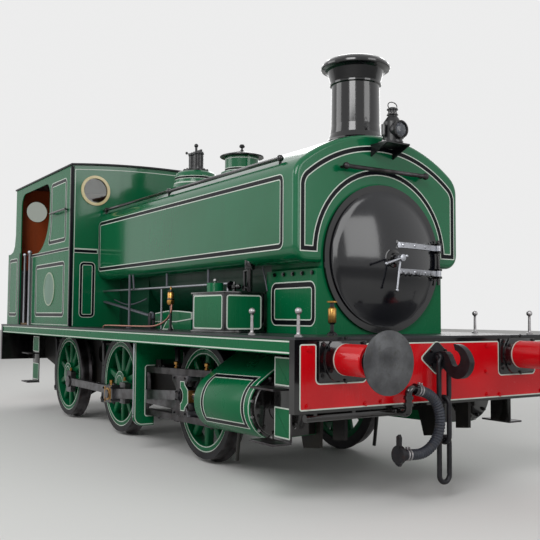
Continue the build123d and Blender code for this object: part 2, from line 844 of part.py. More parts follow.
def saddle_tank():
    body = cross_plate(tank_face(), cab_front_x, tank_front_x)
    body = fillet(body.faces().sort_by(Axis.X)[-1].edges(), tank_edge_radius)
    arch = rod_along_x(smokebox_radius + 0.3, 0, boiler_z, cab_front_x - 1, tank_front_x + 1)
    return body - arch - block(cab_front_x - 1, tank_front_x + 1, -smokebox_radius - 0.3,
                               smokebox_radius + 0.3, tank_bottom_z - 1, boiler_z)


def above_tank(solid):
    # What stands on the tank is cut to its curved top.
    return solid - rod_along_x(tank_top_radius, 0, tank_peak_z - tank_top_radius, cab_front_x, tank_front_x)


def chimney():
    points = (
        (0, mounting_foot_z), (chimney_base_radius, mounting_foot_z), (chimney_base_radius, tank_peak_z + 6),
        (chimney_base_radius - 14, tank_peak_z + 22), (chimney_radius + 12, tank_peak_z + 66),
        (chimney_radius + 3, tank_peak_z + 140), (chimney_radius, chimney_top_z - 214),
        (chimney_radius + 14, chimney_top_z - 206), (chimney_radius + 14, chimney_top_z - 192),
        (chimney_radius + 7, chimney_top_z - 184), (chimney_cap_radius - 55, chimney_top_z - 90),
        (chimney_cap_radius - 34, chimney_top_z - 79), (chimney_cap_radius - 5, chimney_top_z - 71),
        (chimney_cap_radius, chimney_top_z - 64), (chimney_cap_radius, chimney_top_z - 50),
        (chimney_cap_radius - 12, chimney_top_z - 30), (chimney_cap_radius - 34, chimney_top_z - 11),
        (chimney_cap_radius - 58, chimney_top_z), (chimney_bore + 26, chimney_top_z - 4),
        (chimney_bore + 10, chimney_top_z - 40), (chimney_bore, tank_peak_z + 158), (0, tank_peak_z + 158),
    )
    return above_tank(turned_about_z(points, chimney_x))


def dome():
    points = (
        (0, mounting_foot_z), (dome_base_radius, mounting_foot_z), (dome_base_radius, tank_peak_z - 7),
        (dome_radius + 14, tank_peak_z + 33), (dome_radius, tank_peak_z + 88),
        (dome_radius, dome_top_z - 60), (dome_radius - 12, dome_top_z - 26),
        (dome_radius - 40, dome_top_z - 6), (dome_radius - 80, dome_top_z), (0, dome_top_z),
    )
    return above_tank(turned_about_z(points, dome_x))


def safety_valves():
    base = dome_top_z + 22
    top = dome_top_z + valve_height
    valves = rod_along_z(150, dome_x, 0, dome_top_z, base)
    for offset in (-1, 1):
        points = (
            (0, base), (valve_radius + 6, base), (valve_radius, base + 38), (valve_radius, top - 26),
            (valve_radius + 8, top - 16), (valve_radius + 8, top), (0, top + 12),
        )
        valves += turned_about_z(points, dome_x + offset * valve_spacing / 2)
    valves += block(dome_x - 150, dome_x + 130, -9, 9, top, top + 30)
    valves += rod_along_z(14, dome_x, 0, base - 2, top + 84)
    valves += Pos(dome_x, 0, top + 94) * Sphere(24)
    return valves


def tank_filler():
    body = rod_along_z(filler_radius, filler_x, 0, mounting_foot_z, filler_top_z)
    body += rod_along_z(filler_base_radius, filler_x, 0, mounting_foot_z, tank_peak_z + 23)
    body -= rod_along_z(filler_radius - filler_wall, filler_x, 0, mounting_foot_z - 1, filler_top_z + 1)
    hinge_x = filler_x - lid_radius - lid_hinge_reach
    for side in (-1, 1):
        body += block(hinge_x - 14, filler_x - filler_radius + 4, side * 30, side * 44,
                      filler_top_z - 50, filler_top_z - 8)
        body += block(hinge_x - 14, hinge_x + 14, side * 30, side * 44, filler_top_z - 50, filler_top_z + 20)
    body += rod_along_y(lid_hinge_pin_radius, hinge_x, filler_top_z + 8, -44, 44)
    return above_tank(body)


def filler_lid():
    base = filler_top_z + 0.5
    points = (
        (0, base), (lid_radius, base), (lid_radius, base + lid_rim), (lid_radius - 20, base + lid_rim + 8),
        (lid_radius * 0.62, base + lid_rim + 26), (lid_radius * 0.3, base + lid_rim + lid_rise),
        (0, base + lid_rim + lid_rise + 6),
    )
    lid = turned_about_z(points, filler_x)
    hinge_x = filler_x - lid_radius - lid_hinge_reach
    lid += block(hinge_x, filler_x - lid_radius + 30, -28, 28, base, base + lid_rim)
    lid += rod_along_y(2 * lid_hinge_pin_radius, hinge_x, filler_top_z + 8, -28, 28)
    return lid - rod_along_y(lid_hinge_pin_radius + pin_clearance, hinge_x, filler_top_z + 8, -60, 60)


# Cab
def cab_side(side):
    sheet = polygon(
        (cab_front_x, platform_top_z), (cab_front_x, eave_z), (cab_rear_x, eave_z),
        (cab_rear_x, bunker_top_z + 258), (cab_rear_x - 40, bunker_top_z + 98),
        (cab_rear_x - 120, bunker_top_z + 26), (cab_rear_x - 240, bunker_top_z),
        (bunker_rear_x, bunker_top_z), (bunker_rear_x, platform_top_z),
    )
    rear_bend_x = opening_rear_x + opening_rear_radius
    rear_bend_z = opening_top_z - opening_rear_radius
    front_bend_x = opening_front_x - opening_front_radius
    front_bend_z = opening_top_z - opening_front_radius
    eighth = math.sqrt(0.5)
    rear_middle = (rear_bend_x - eighth * opening_rear_radius, rear_bend_z + eighth * opening_rear_radius)
    front_middle = (front_bend_x + eighth * opening_front_radius,
                    front_bend_z + eighth * opening_front_radius)
    sweep_start = (opening_front_x, waist_z + 482)
    sweep_middle = (opening_front_x - 172, waist_z + 137)
    sweep_end = (doorway_front_x + 195, waist_z)
    foot_z = platform_top_z - 1
    opening = make_face([
        Line((opening_rear_x, foot_z), (opening_rear_x, rear_bend_z)),
        ThreePointArc((opening_rear_x, rear_bend_z), rear_middle, (rear_bend_x, opening_top_z)),
        Line((rear_bend_x, opening_top_z), (front_bend_x, opening_top_z)),
        ThreePointArc((front_bend_x, opening_top_z), front_middle, (opening_front_x, front_bend_z)),
        Line((opening_front_x, front_bend_z), sweep_start),
        ThreePointArc(sweep_start, sweep_middle, sweep_end),
        Line(sweep_end, (doorway_front_x, waist_z)),
        Line((doorway_front_x, waist_z), (doorway_front_x, foot_z)),
        Line((doorway_front_x, foot_z), (opening_rear_x, foot_z)),
    ])
    inner = side * (cab_side_y - cab_plate)
    outer = side * cab_side_y
    return side_plate(sheet, inner, outer) - side_plate(opening, inner - side, outer + side)


def roof_face(raised):
    # The space under the arched roof, or the same raised by the roof's thickness.
    edge = cab_side_y + roof_eave
    low_z = platform_bottom_z
    high_z = eave_z + raised
    return make_face([
        Line((-edge, low_z), (edge, low_z)),
        Line((edge, low_z), (edge, high_z)),
        ThreePointArc((edge, high_z), (0, high_z + roof_rise), (-edge, high_z)),
        Line((-edge, high_z), (-edge, low_z)),
    ])


def cab_cross_sheet(x_low, x_high, bottom_z):
    inner = cab_side_y - cab_plate
    sheet = block(x_low, x_high, -inner, inner, bottom_z, eave_z + roof_rise)
    sheet &= cross_plate(roof_face(0), x_low, x_high)
    for side in (-1, 1):
        sheet -= rod_along_x(porthole_radius, side * porthole_y, porthole_z, x_low - 1, x_high + 1)
    return sheet


def cab_front():
    sheet = cab_cross_sheet(cab_front_x - cab_plate, cab_front_x, platform_top_z)
    hole = rod_along_x(boiler_radius, 0, boiler_z, cab_front_x - 50, cab_front_x + 50)
    hole += block(cab_front_x - 50, cab_front_x + 50, -boiler_radius, boiler_radius, platform_bottom_z,
                  boiler_z)
    return sheet - hole


def cab_rear():
    return cab_cross_sheet(cab_rear_x, cab_rear_x + cab_plate, coal_board_z)


def cab_roof():
    roof = cross_plate(roof_face(roof_thickness), cab_rear_x - roof_overhang, cab_front_x + roof_overhang)
    return roof - cross_plate(roof_face(0), cab_rear_x - roof_overhang - 1, cab_front_x + roof_overhang + 1)


def bunker():
    inner = cab_side_y - cab_plate
    rear = block(bunker_rear_x, bunker_rear_x + cab_plate, -inner, inner, platform_top_z, bunker_top_z)
    front = block(coal_board_x, coal_board_x + cab_plate, -inner, inner, platform_top_z, coal_board_z)
    shelf = block(cab_rear_x, coal_board_x, -inner, inner, coal_board_z - cab_plate, coal_board_z)
    return Compound(children=[rear, front + shelf])


def porthole_rims():
    rims = []
    for x_low, x_high in ((cab_front_x, cab_front_x + 16), (cab_rear_x - 16, cab_rear_x)):
        for side in (-1, 1):
            y = side * porthole_y
            rim = rod_along_x(porthole_radius + porthole_rim, y, porthole_z, x_low, x_high)
            rims.append(rim - rod_along_x(porthole_radius - 6, y, porthole_z, x_low - 1, x_high + 1))
    return Compound(children=rims)


# Fittings
def porthole_glass():
    panes = []
    for x_low in (cab_front_x - cab_plate, cab_rear_x + 4):
        for side in (-1, 1):
            panes.append(rod_along_x(porthole_radius - 0.3, side * porthole_y, porthole_z, x_low, x_low + 8))
    return Compound(children=panes)


def handrails():
    pieces = []
    for _, side, _ in sides:
        y = side * tank_rail_y
        rail = rod_along_x(rail_radius, y, tank_rail_z, cab_front_x, tank_rail_knobs[-1])
        for x in tank_rail_knobs:
            rail += Pos(x, y, tank_rail_z) * Sphere(rail_knob_radius)
            stem = rod_along_z(rail_stem_radius, x, y, tank_rail_z - 90, tank_rail_z)
            rail += stem
        pieces.append(rail - saddle_tank())
        front_rail_y = cab_side_y + 30
        rear_rail_y = cab_side_y - 48
        front_post = rod_along_z(rail_radius, door_rail_front_x, side * front_rail_y,
                                 platform_top_z, door_rail_top_z)
        front_post += Pos(door_rail_front_x, side * front_rail_y, door_rail_top_z) * Sphere(rail_knob_radius)
        front_post += rod_along_y(rail_stem_radius, door_rail_front_x, door_rail_top_z - 40,
                                  side * cab_side_y, side * front_rail_y)
        rear_post = rod_along_z(rail_radius, door_rail_rear_x, side * rear_rail_y,
                                platform_top_z, door_rail_top_z)
        rear_post += Pos(door_rail_rear_x, side * rear_rail_y, door_rail_top_z) * Sphere(rail_knob_radius)
        rear_post += rod_along_x(rail_stem_radius, side * rear_rail_y, coal_board_z - 30,
                                 coal_board_x + cab_plate, door_rail_rear_x)
        grip_y = side * (cab_side_y + cab_grip_reach)
        grip = rod_along_x(cab_grip_radius, grip_y, cab_grip_z, *cab_grip_x)
        for x in (cab_grip_x[0] + 40, cab_grip_x[1] - 40):
            grip += rod_along_y(9, x, cab_grip_z, side * cab_side_y, grip_y)
        pieces += [front_post, rear_post, grip]
    rail = rod_along_y(rail_radius, front_rail_x, front_rail_z, -front_rail_half, front_rail_half)
    for y in (-front_rail_half, front_rail_half):
        rail += Pos(front_rail_x, y, front_rail_z) * Sphere(rail_knob_radius)
        rail += rod_along_x(rail_stem_radius, y, front_rail_z, smokebox_front_x, front_rail_x)
    pieces.append(rail)
    for _, side, _ in sides:
        for x in post_places:
            points = (
                (0, platform_top_z), (27, platform_top_z), (27, platform_top_z + 8), (12, platform_top_z + 20),
                (10, platform_top_z + post_height), (0, platform_top_z + post_height),
            )
            post = turned_about_z(points, 0) + Pos(0, 0, platform_top_z + post_height) * Sphere(24)
            pieces.append(Pos(x, side * post_y, 0) * post)
    reversing = rod_along_x(reversing_rod_radius, -reversing_rod_y, reversing_rod_z, cab_front_x,
                            reversing_rod_end_x)
    for x, foot_z in ((reversing_post_x, platform_top_z), (reversing_rod_end_x - 14, box_top_z)):
        pieces.append(block(x - 12, x + 12, -reversing_rod_y - 6, -reversing_rod_y + 6,
                            foot_z, reversing_rod_z - reversing_rod_radius))
    pieces.append(reversing)
    return Compound(children=pieces)


def footplate_boxes():
    pieces = []
    for _, side, _ in sides:
        box = block(box_rear_x, box_front_x, side * box_inner_y, side * box_outer_y, platform_top_z, box_top_z)
        for lip_low in (platform_top_z, box_top_z - box_lip):
            box += block(box_rear_x - 12, box_front_x + 12, side * (box_inner_y - 8), side * (box_outer_y + 12),
                         lip_low, lip_low + box_lip)
        cap_top_z = box_top_z + box_cap_height
        knob_z = cap_top_z + box_knob_radius + 4
        box += rod_along_z(box_cap_radius, box_cap_x, side * box_cap_y, box_top_z, cap_top_z)
        box += rod_along_z(box_knob_radius / 2, box_cap_x, side * box_cap_y, cap_top_z, knob_z)
        box += Pos(box_cap_x, side * box_cap_y, knob_z) * Sphere(box_knob_radius)
        pieces.append(box)
        pipe_y = side * tank_pipe_y
        pipe = rod_along_z(tank_pipe_radius, tank_pipe_x, pipe_y, box_top_z, tank_bottom_z + 60)
        pipe += rod_along_z(tank_pipe_radius + 18, tank_pipe_x, pipe_y, tank_bottom_z - 22,
                            tank_bottom_z + 60)
        pieces.append(pipe - saddle_tank())
        route = FilletPolyline((sand_pipe_x, side * sand_pipe_y, platform_bottom_z),
                               (sand_pipe_x, side * sand_pipe_y, axle_height + 11),
                               (sand_pipe_x - 70, side * sand_pipe_y, sand_pipe_end_z), radius=120)
        pieces.append(sweep(Plane(origin=route @ 0, z_dir=route % 0) * Circle(sand_pipe_radius), path=route))
    return Compound(children=pieces)


def headlamp():
    shelf = block(smokebox_front_x, lamp_x + 70, -120, 120, lamp_shelf_z - 12, lamp_shelf_z)
    web = polygon((smokebox_front_x, lamp_shelf_z - 95), (lamp_x + 70, lamp_shelf_z - 12),
                  (smokebox_front_x, lamp_shelf_z - 12))
    shelf += side_plate(web, -120, -108) + side_plate(web, 108, 120)
    points = (
        (0, lamp_shelf_z), (lamp_radius + 6, lamp_shelf_z), (lamp_radius + 6, lamp_shelf_z + 14),
        (lamp_radius, lamp_shelf_z + 14), (lamp_radius - 6, lamp_shelf_z + lamp_body_height),
        (40, lamp_shelf_z + lamp_body_height + 46), (34, lamp_shelf_z + lamp_body_height + 46),
        (34, lamp_shelf_z + lamp_height - 18), (44, lamp_shelf_z + lamp_height - 18),
        (44, lamp_shelf_z + lamp_height - 10), (30, lamp_shelf_z + lamp_height),
        (0, lamp_shelf_z + lamp_height),
    )
    lamp = turned_about_z(points, lamp_x)
    lamp += rod_along_x(lens_radius, 0, lens_z, lamp_x, lamp_x + 92)
    return Compound(children=[shelf, lamp])


def lubricators():
    front_cup = (
        (0, platform_top_z), (34, platform_top_z), (34, platform_top_z + 16), (14, platform_top_z + 30),
        (14, platform_top_z + 78), (cup_radius, platform_top_z + 92), (cup_radius, platform_top_z + 190),
        (16, platform_top_z + 206), (16, platform_top_z + 232), (38, platform_top_z + 236),
        (38, platform_top_z + 246), (0, platform_top_z + 248),
    )
    side_cup = (
        (0, platform_top_z), (24, platform_top_z), (24, platform_top_z + 12), (12, platform_top_z + 24),
        (12, platform_top_z + 222), (26, platform_top_z + 232), (cup_radius, platform_top_z + 246),
        (cup_radius, platform_top_z + 340), (20, platform_top_z + 352), (8, platform_top_z + 372),
        (8, platform_top_z + 396), (0, platform_top_z + 400),
    )
    pieces = [Pos(front_cup_place[0], front_cup_place[1], 0) * turned_about_z(front_cup, 0)]
    for _, side, _ in sides:
        pieces.append(Pos(side_cup_x, side * side_cup_y, 0) * turned_about_z(side_cup, 0))
    return Compound(children=pieces)


# Brakes and springs
def brake_hanger(axle_x, beam_x, side):
    # A hanger with its shoe and the pin that it swings from, bored for the cross beam.
    inner_radius = tread_radius + brake_clearance
    ring = Circle(inner_radius + shoe_depth) - Circle(inner_radius)
    reach = 2 * tread_radius
    spread = reach * math.tan(math.radians(shoe_half_angle))
    shoe = ring & polygon((0, 0), (-reach, spread), (-reach, -spread))
    hanger = Pos(axle_x, 0, axle_height) * side_plate(shoe, side * shoe_inner_y, side * shoe_outer_y)
    pivot_x = axle_x - hanger_pivot_reach
    shoe_back_x = axle_x - inner_radius
    bar = polygon(
        (pivot_x - 28, hanger_pivot_z + 30),
        (pivot_x + 28, hanger_pivot_z + 30),
        (shoe_back_x - 30, axle_height),
        (beam_x + 40, brake_beam_z - 44),
        (beam_x - 40, brake_beam_z - 44),
        (shoe_back_x - 100, axle_height),
    )
    hanger += side_plate(bar, side * (shoe_inner_y + 26), side * (shoe_outer_y - 30))
    hanger += rod_along_y(20, pivot_x, hanger_pivot_z, side * frame_outer_y, side * (shoe_outer_y - 20))
    return hanger - rod_along_y(brake_beam_radius, beam_x, brake_beam_z,
                                side * shoe_inner_y, side * shoe_outer_y)


def brake_gear():
    pieces = []
    beam_places = []
    for _, axle_x in axles:
        beam_x = axle_x - hanger_pivot_reach + 10
        beam_places.append(beam_x)
        beam_end = shoe_outer_y - 20
        pieces.append(rod_along_y(brake_beam_radius, beam_x, brake_beam_z, -beam_end, beam_end))
        for _, side, _ in sides:
            pieces.append(brake_hanger(axle_x, beam_x, side))
    rod_bottom = brake_beam_z + brake_beam_radius
    pieces.append(block(min(beam_places) - 60, max(beam_places) + 60, -16, 16, rod_bottom, rod_bottom + 48))
    return Compound(children=pieces)


def leaf_springs():
    springs = []
    for _, axle_x in axles:
        for _, side, _ in sides:
            top = axle_height - axlebox_bottom
            middle_y = side * (frame_inner_y - spring_width / 2 - 12)
            spring = block(axle_x - 45, axle_x + 45, middle_y - spring_width / 2 - 6,
                           middle_y + spring_width / 2 + 6, top - 9 * spring_leaf - 10, top)
            for leaf in range(8):
                half = spring_half_length * (1 - leaf / 9)
                leaf_top = top - 12 - leaf * spring_leaf
                spring += block(axle_x - half, axle_x + half, middle_y - spring_width / 2,
                                middle_y + spring_width / 2, leaf_top - spring_leaf, leaf_top)
            springs.append(spring)
    return springs


def ashpan():
    return block(firebox_rear_x + 30, middle_axle_x - 130, -ashpan_half_width,
                 ashpan_half_width, ashpan_bottom_z, firebox_bottom_z)


# Brake pipe and hose at the front
def hose_points():
    return [(hose_x, y, z) for y, z in hose_route]


def arc_radii(points):
    # The radius of each bend of a route of straight runs and tangent arcs.
    radii = []
    for before, corner, after in zip(points, points[1:], points[2:]):
        first = Vector(*corner) - Vector(*before)
        second = Vector(*after) - Vector(*corner)
        turn = math.radians(first.get_angle(second))
        radii.append(0.45 * min(first.length, second.length) / math.tan(turn / 2))
    return radii


def vacuum_hose():
    points = hose_points()
    radii = arc_radii(points)
    print("hose bend radii", [round(radius) for radius in radii])
    route = FilletPolyline(*points, radius=radii)
    section = Plane(origin=route @ 0, z_dir=route % 0) * Circle(hose_radius)
    hose = sweep(section, path=route)
    print("hose volume", round(hose.volume / 1e6, 3), "section by length",
          round(math.pi * hose_radius ** 2 * route.length / 1e6, 3))
    return hose


def vacuum_standpipe():
    start_y, start_z = hose_route[0]
    next_y, next_z = hose_route[1]
    slope = (next_z - start_z) / (next_y - start_y)
    top_z = start_z + slope * (riser_y - start_y)
    pipe_x = beam_face_x - 25
    route = FilletPolyline(
        (pipe_x, pipe_end_y, pipe_z), (pipe_x, riser_y, pipe_z), (hose_x, riser_y, pipe_z),
        (hose_x, riser_y, top_z), (hose_x, start_y - 0.3, start_z), radius=34)
    pipe = sweep(Plane(origin=route @ 0, z_dir=route % 0) * Circle(pipe_radius), path=route)
    for y in pipe_clip_places:
        pipe += block(pipe_x - 20, pipe_x + 20, y - 14, y + 14, pipe_z, beam_bottom_z)
    for z in (pipe_z + 62, top_z - 66):
        pipe += rod_along_z(pipe_radius + 9, hose_x, riser_y, z - 12, z + 12)
    end = Plane(origin=(hose_x, start_y - 0.3, start_z), z_dir=(0, 1, slope))
    pipe += end * Pos(0, 0, -12) * Cylinder(hose_radius + 6, 24)
    return pipe


def hose_coupling():
    end_y, end_z = hose_route[-1]
    last_y, last_z = hose_route[-2]
    slope = (end_z - last_z) / (last_y - end_y)
    face = Plane(origin=(hose_x, end_y - 0.3, end_z), z_dir=(0, -1, slope))
    head = face * Pos(0, 0, 17) * Cylinder(hose_radius + 8, 34)
    head += face * Pos(0, 0, 48) * Cylinder(62, 28)
    y = end_y - 48
    horn = polygon((-14, end_z), (14, end_z), (20, end_z + 120), (6, end_z + 142), (-14, end_z + 126))
    head += Pos(hose_x, 0, 0) * side_plate(horn, y - 12, y + 12)
    tail = polygon((-18, end_z), (18, end_z), (26, end_z - 52), (10, end_z - 74), (-26, end_z - 60))
    head += Pos(hose_x, 0, 0) * side_plate(tail, y - 12, y + 12)
    return head


# Steps
def steps():
    pieces = []
    tread_edge = platform_half_width - 10
    hanger_outer = tread_edge - step_depth
    for tread_rear, tread_front, hanger_rear, hanger_front in step_places:
        for _, side, _ in sides:
            inner = side * (hanger_outer - cab_plate)
            step = block(hanger_rear, hanger_front, inner, side * hanger_outer,
                         step_heights[0] + step_thickness, platform_bottom_z)
            for level in step_heights:
                step += block(tread_rear, tread_front, inner, side * tread_edge,
                              level, level + step_thickness)
            pieces.append(step)
    return Compound(children=pieces)


parts = {
    "frame_stretchers": frame_stretchers(),
    "axleboxes": axleboxes(),
    "brake_gear": brake_gear(),
    "footplate": footplate(),
    "boiler": boiler(),
    "smokebox": smokebox(),
    "smokebox_ring": smokebox_ring(),
    "smokebox_door": smokebox_door(),
    "saddle_tank": saddle_tank(),
    "chimney": chimney(),
    "dome": dome(),
    "safety_valves": safety_valves(),
    "tank_filler": tank_filler(),
    "filler_lid": filler_lid(),
    "cab_front": cab_front(),
    "cab_rear": cab_rear(),
    "cab_roof": cab_roof(),
    "bunker": bunker(),
    "porthole_rims": porthole_rims(),
    "porthole_glass": porthole_glass(),
    "handrails": handrails(),
    "footplate_boxes": footplate_boxes(),
    "headlamp": headlamp(),
    "lubricators": lubricators(),
    "vacuum_standpipe": vacuum_standpipe(),
    "vacuum_hose": vacuum_hose(),
    "hose_coupling": hose_coupling(),
    "steps": steps(),
}
for end_name, end in ends:
    parts["buffer_beam_" + end_name] = buffer_beam(end)
    parts["buffer_housings_" + end_name] = buffer_housings(end)
    parts["buffer_heads_" + end_name] = buffer_heads(end)
    parts["drawgear_" + end_name] = drawgear(end)
for side_name, side, angle in sides:
    parts["frame_plate_" + side_name] = frame_plate(side)
    parts["valance_" + side_name] = valance(side)
    parts["cab_side_" + side_name] = cab_side(side)
    parts["cylinder_" + side_name] = cylinder(side)
    parts["slide_bars_" + side_name] = slide_bars(side)
    parts["motion_bracket_" + side_name] = motion_bracket(side)
    parts["crosshead_" + side_name] = crosshead(side, angle)
    parts["connecting_rod_" + side_name] = connecting_rod(side, angle)
    parts["coupling_rod_" + side_name] = coupling_rod(side, angle)
for axle_name, axle_x in axles:
    parts["wheels_" + axle_name] = wheels(axle_name, axle_x)
    tyres = [wheel_tyre(side, axle_x) for _, side, _ in sides]
    parts["tyres_" + axle_name] = Compound(children=tyres)

os.makedirs("parts", exist_ok=True)
for node, solid in parts.items():
    export_step(solid, "parts/" + node + ".step")
    print(node, round(solid.volume / 1e6, 2), "litres")
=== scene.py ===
import json
import math

import bmesh
import bpy
from mathutils import Matrix, Vector

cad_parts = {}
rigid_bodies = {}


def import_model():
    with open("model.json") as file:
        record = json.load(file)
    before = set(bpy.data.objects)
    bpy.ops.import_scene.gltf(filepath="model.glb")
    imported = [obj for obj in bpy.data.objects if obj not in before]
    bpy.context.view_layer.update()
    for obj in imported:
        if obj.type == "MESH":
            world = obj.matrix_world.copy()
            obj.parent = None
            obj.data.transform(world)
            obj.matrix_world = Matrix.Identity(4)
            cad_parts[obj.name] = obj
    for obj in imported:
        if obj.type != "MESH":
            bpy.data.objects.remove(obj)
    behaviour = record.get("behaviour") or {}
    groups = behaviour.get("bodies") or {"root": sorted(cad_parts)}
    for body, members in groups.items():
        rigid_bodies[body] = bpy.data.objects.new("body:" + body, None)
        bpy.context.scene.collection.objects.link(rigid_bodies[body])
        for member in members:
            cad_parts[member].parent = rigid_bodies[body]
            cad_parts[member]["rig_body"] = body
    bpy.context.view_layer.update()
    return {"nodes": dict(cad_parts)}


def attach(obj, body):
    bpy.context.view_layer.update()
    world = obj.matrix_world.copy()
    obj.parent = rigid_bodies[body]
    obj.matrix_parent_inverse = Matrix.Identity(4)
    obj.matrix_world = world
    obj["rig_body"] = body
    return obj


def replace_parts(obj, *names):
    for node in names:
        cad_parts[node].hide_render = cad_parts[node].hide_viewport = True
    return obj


# Paint, lining, bolts and fittings of the saddle tank engine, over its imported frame. Metres, +X forward.
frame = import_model()
nodes = frame["nodes"]
print("frame loaded,", len(nodes), "nodes")

sides = (("right", -1), ("left", 1))
axles = (("front", 1.612), ("middle", -0.318), ("rear", -2.045))
crankAngles = {"right": -18, "left": 72}
axleHeight = 0.549
driveX = axles[1][1]
crankThrow = 0.254
rodLength = 1.7
motionY = 0.985
motionLean = math.radians(1.5)
boilerHeight = 1.748
footplateTop = 1.158


def linkObject(name, data):
    made = bpy.data.objects.new(name, data)
    bpy.context.scene.collection.objects.link(made)
    return made


def placed(spot, across, up, out):
    # a place from its own three directions
    return Matrix.Translation(spot) @ Matrix((across, up, out)).transposed().to_4x4()


# camera at the photograph's place
cameraSettings = {"place": (7.8355, -4.1303, 1.2935), "yaw": 147.18, "pitch": 3.35, "roll": 0.36,
                  "lens": 52.52}


def makeCamera(settings):
    yaw, pitch, roll = (math.radians(settings[key]) for key in ("yaw", "pitch", "roll"))
    forward = Vector((math.cos(yaw) * math.cos(pitch), math.sin(yaw) * math.cos(pitch), math.sin(pitch)))
    right = Vector((math.sin(yaw), -math.cos(yaw), 0))
    up = right.cross(forward)
    tilted = right * math.cos(roll) + up * math.sin(roll)
    over = up * math.cos(roll) - right * math.sin(roll)
    camera = linkObject("camera", bpy.data.cameras.new("camera"))
    camera.data.lens = settings["lens"]
    camera.data.sensor_width = 36
    camera.data.sensor_fit = "HORIZONTAL"
    camera.data.clip_start = 0.05
    camera.data.clip_end = 200
    camera.matrix_world = placed(settings["place"], tilted, over, -forward)
    bpy.context.scene.camera = camera


makeCamera(cameraSettings)
print("camera placed")


# colours are written as they look, and turned to linear here
def tint(red, green, blue):
    return tuple((value / 255) ** 2.2 for value in (red, green, blue)) + (1,)


def setSocket(tree, socket, value):
    if isinstance(value, bpy.types.NodeSocket):
        tree.links.new(value, socket)
    else:
        socket.default_value = value


# node groups that several materials share
def startGroup(name, colours, numbers):
    group = bpy.data.node_groups.new(name, "ShaderNodeTree")
    inputs = {"Vector": "Vector", **dict.fromkeys(colours, "Color"), **dict.fromkeys(numbers, "Float")}
    for label, kind in inputs.items():
        group.interface.new_socket(name=label, in_out="INPUT", socket_type="NodeSocket" + kind)
    for label, kind in (("Color", "Color"), ("Roughness", "Float"), ("Height", "Float")):
        group.interface.new_socket(name=label, in_out="OUTPUT", socket_type="NodeSocket" + kind)
    return group, group.nodes.new("NodeGroupInput").outputs, group.nodes.new("NodeGroupOutput").inputs


def endGroup(tree, result, values):
    for socket, value in zip(result, values):
        tree.links.new(value, socket)
    return tree


def addNoise(tree, place, scale, detail=3, stretch=None):
    noise = tree.nodes.new("ShaderNodeTexNoise")
    if stretch:
        mapping = tree.nodes.new("ShaderNodeMapping")
        mapping.inputs["Scale"].default_value = stretch
        tree.links.new(place, mapping.inputs["Vector"])
        place = mapping.outputs["Vector"]
    for label, value in (("Vector", place), ("Scale", scale), ("Detail", detail)):
        setSocket(tree, noise.inputs[label], value)
    return noise.outputs["Fac"]


def addRange(tree, value, low, high, toLow=0.0, toHigh=1.0):
    node = tree.nodes.new("ShaderNodeMapRange")
    tree.links.new(value, node.inputs["Value"])
    for label, number in (("From Min", low), ("From Max", high), ("To Min", toLow), ("To Max", toHigh)):
        node.inputs[label].default_value = number
    return node.outputs["Result"]


def addMath(tree, operation, first, second):
    node = tree.nodes.new("ShaderNodeMath")
    node.operation = operation
    for socket, value in zip(node.inputs, (first, second)):
        setSocket(tree, socket, value)
    return node.outputs["Value"]


def multiply(tree, first, second):
    return addMath(tree, "MULTIPLY", first, second)


def addMix(tree, share, first, second):
    node = tree.nodes.new("ShaderNodeMix")
    node.data_type = "RGBA"
    for number, value in ((0, share), (6, first), (7, second)):
        setSocket(tree, node.inputs[number], value)
    return node.outputs[2]


# weathered paint: cloudy tone, runs down the side, road dust low down and small specks
def makePaintGroup():
    tree, given, result = startGroup("weatheredPaint", ("Paint", "Faded", "Dirt"),
                                     ("Fade", "Runs", "Dust", "Roughness"))
    place = given["Vector"]
    cloud = addRange(tree, addNoise(tree, place, 1.6, 4), 0.35, 0.7)
    runs = addRange(tree, addNoise(tree, place, 9, 3, (1, 1, 0.07)), 0.52, 0.78)
    specks = addRange(tree, addNoise(tree, place, 55, 2), 0.64, 0.72)
    patchy = addRange(tree, addNoise(tree, place, 5, 5), 0.3, 0.75)
    split = tree.nodes.new("ShaderNodeSeparateXYZ")
    tree.links.new(place, split.inputs["Vector"])
    low = addRange(tree, split.outputs["Z"], 1.1, 0.1)
    dust = multiply(tree, multiply(tree, low, patchy), given["Dust"])
    dirt = addMath(tree, "MAXIMUM", multiply(tree, runs, given["Runs"]), dust)
    dirt = addMath(tree, "MAXIMUM", dirt, multiply(tree, specks, given["Runs"]))
    faded = addMix(tree, multiply(tree, cloud, given["Fade"]), given["Paint"], given["Faded"])
    rough = addMath(tree, "ADD", given["Roughness"], multiply(tree, dirt, 0.45))
    rough = addMath(tree, "ADD", rough, multiply(tree, cloud, 0.05))
    sheet = multiply(tree, addNoise(tree, place, 2.2, 2), 2.5)
    height = addMath(tree, "ADD", addNoise(tree, place, 26, 2), sheet)
    return endGroup(tree, result, (addMix(tree, dirt, faded, given["Dirt"]), rough, height))


# worn metal: polished and oily places, fine scratches and pits
def makeMetalGroup():
    tree, given, result = startGroup("wornMetal", ("Metal", "Oil", "Rust"),
                                     ("Oily", "Rusty", "Scale", "Roughness"))
    place = given["Vector"]
    blotch = addNoise(tree, place, given["Scale"], 5)
    oily = multiply(tree, addRange(tree, blotch, 0.38, 0.66), given["Oily"])
    rusty = multiply(tree, addRange(tree, addNoise(tree, place, 31, 6), 0.55, 0.7), given["Rusty"])
    scratch = addNoise(tree, place, 60, 3, (0.12, 1, 1))
    color = addMix(tree, rusty, addMix(tree, oily, given["Metal"], given["Oil"]), given["Rust"])
    rough = addMath(tree, "ADD", given["Roughness"], multiply(tree, rusty, 0.4))
    rough = addMath(tree, "ADD", rough, multiply(tree, scratch, 0.12))
    return endGroup(tree, result, (color, rough, addMath(tree, "ADD", scratch, blotch)))


paintGroup = makePaintGroup()
metalGroup = makeMetalGroup()
print("node groups made")


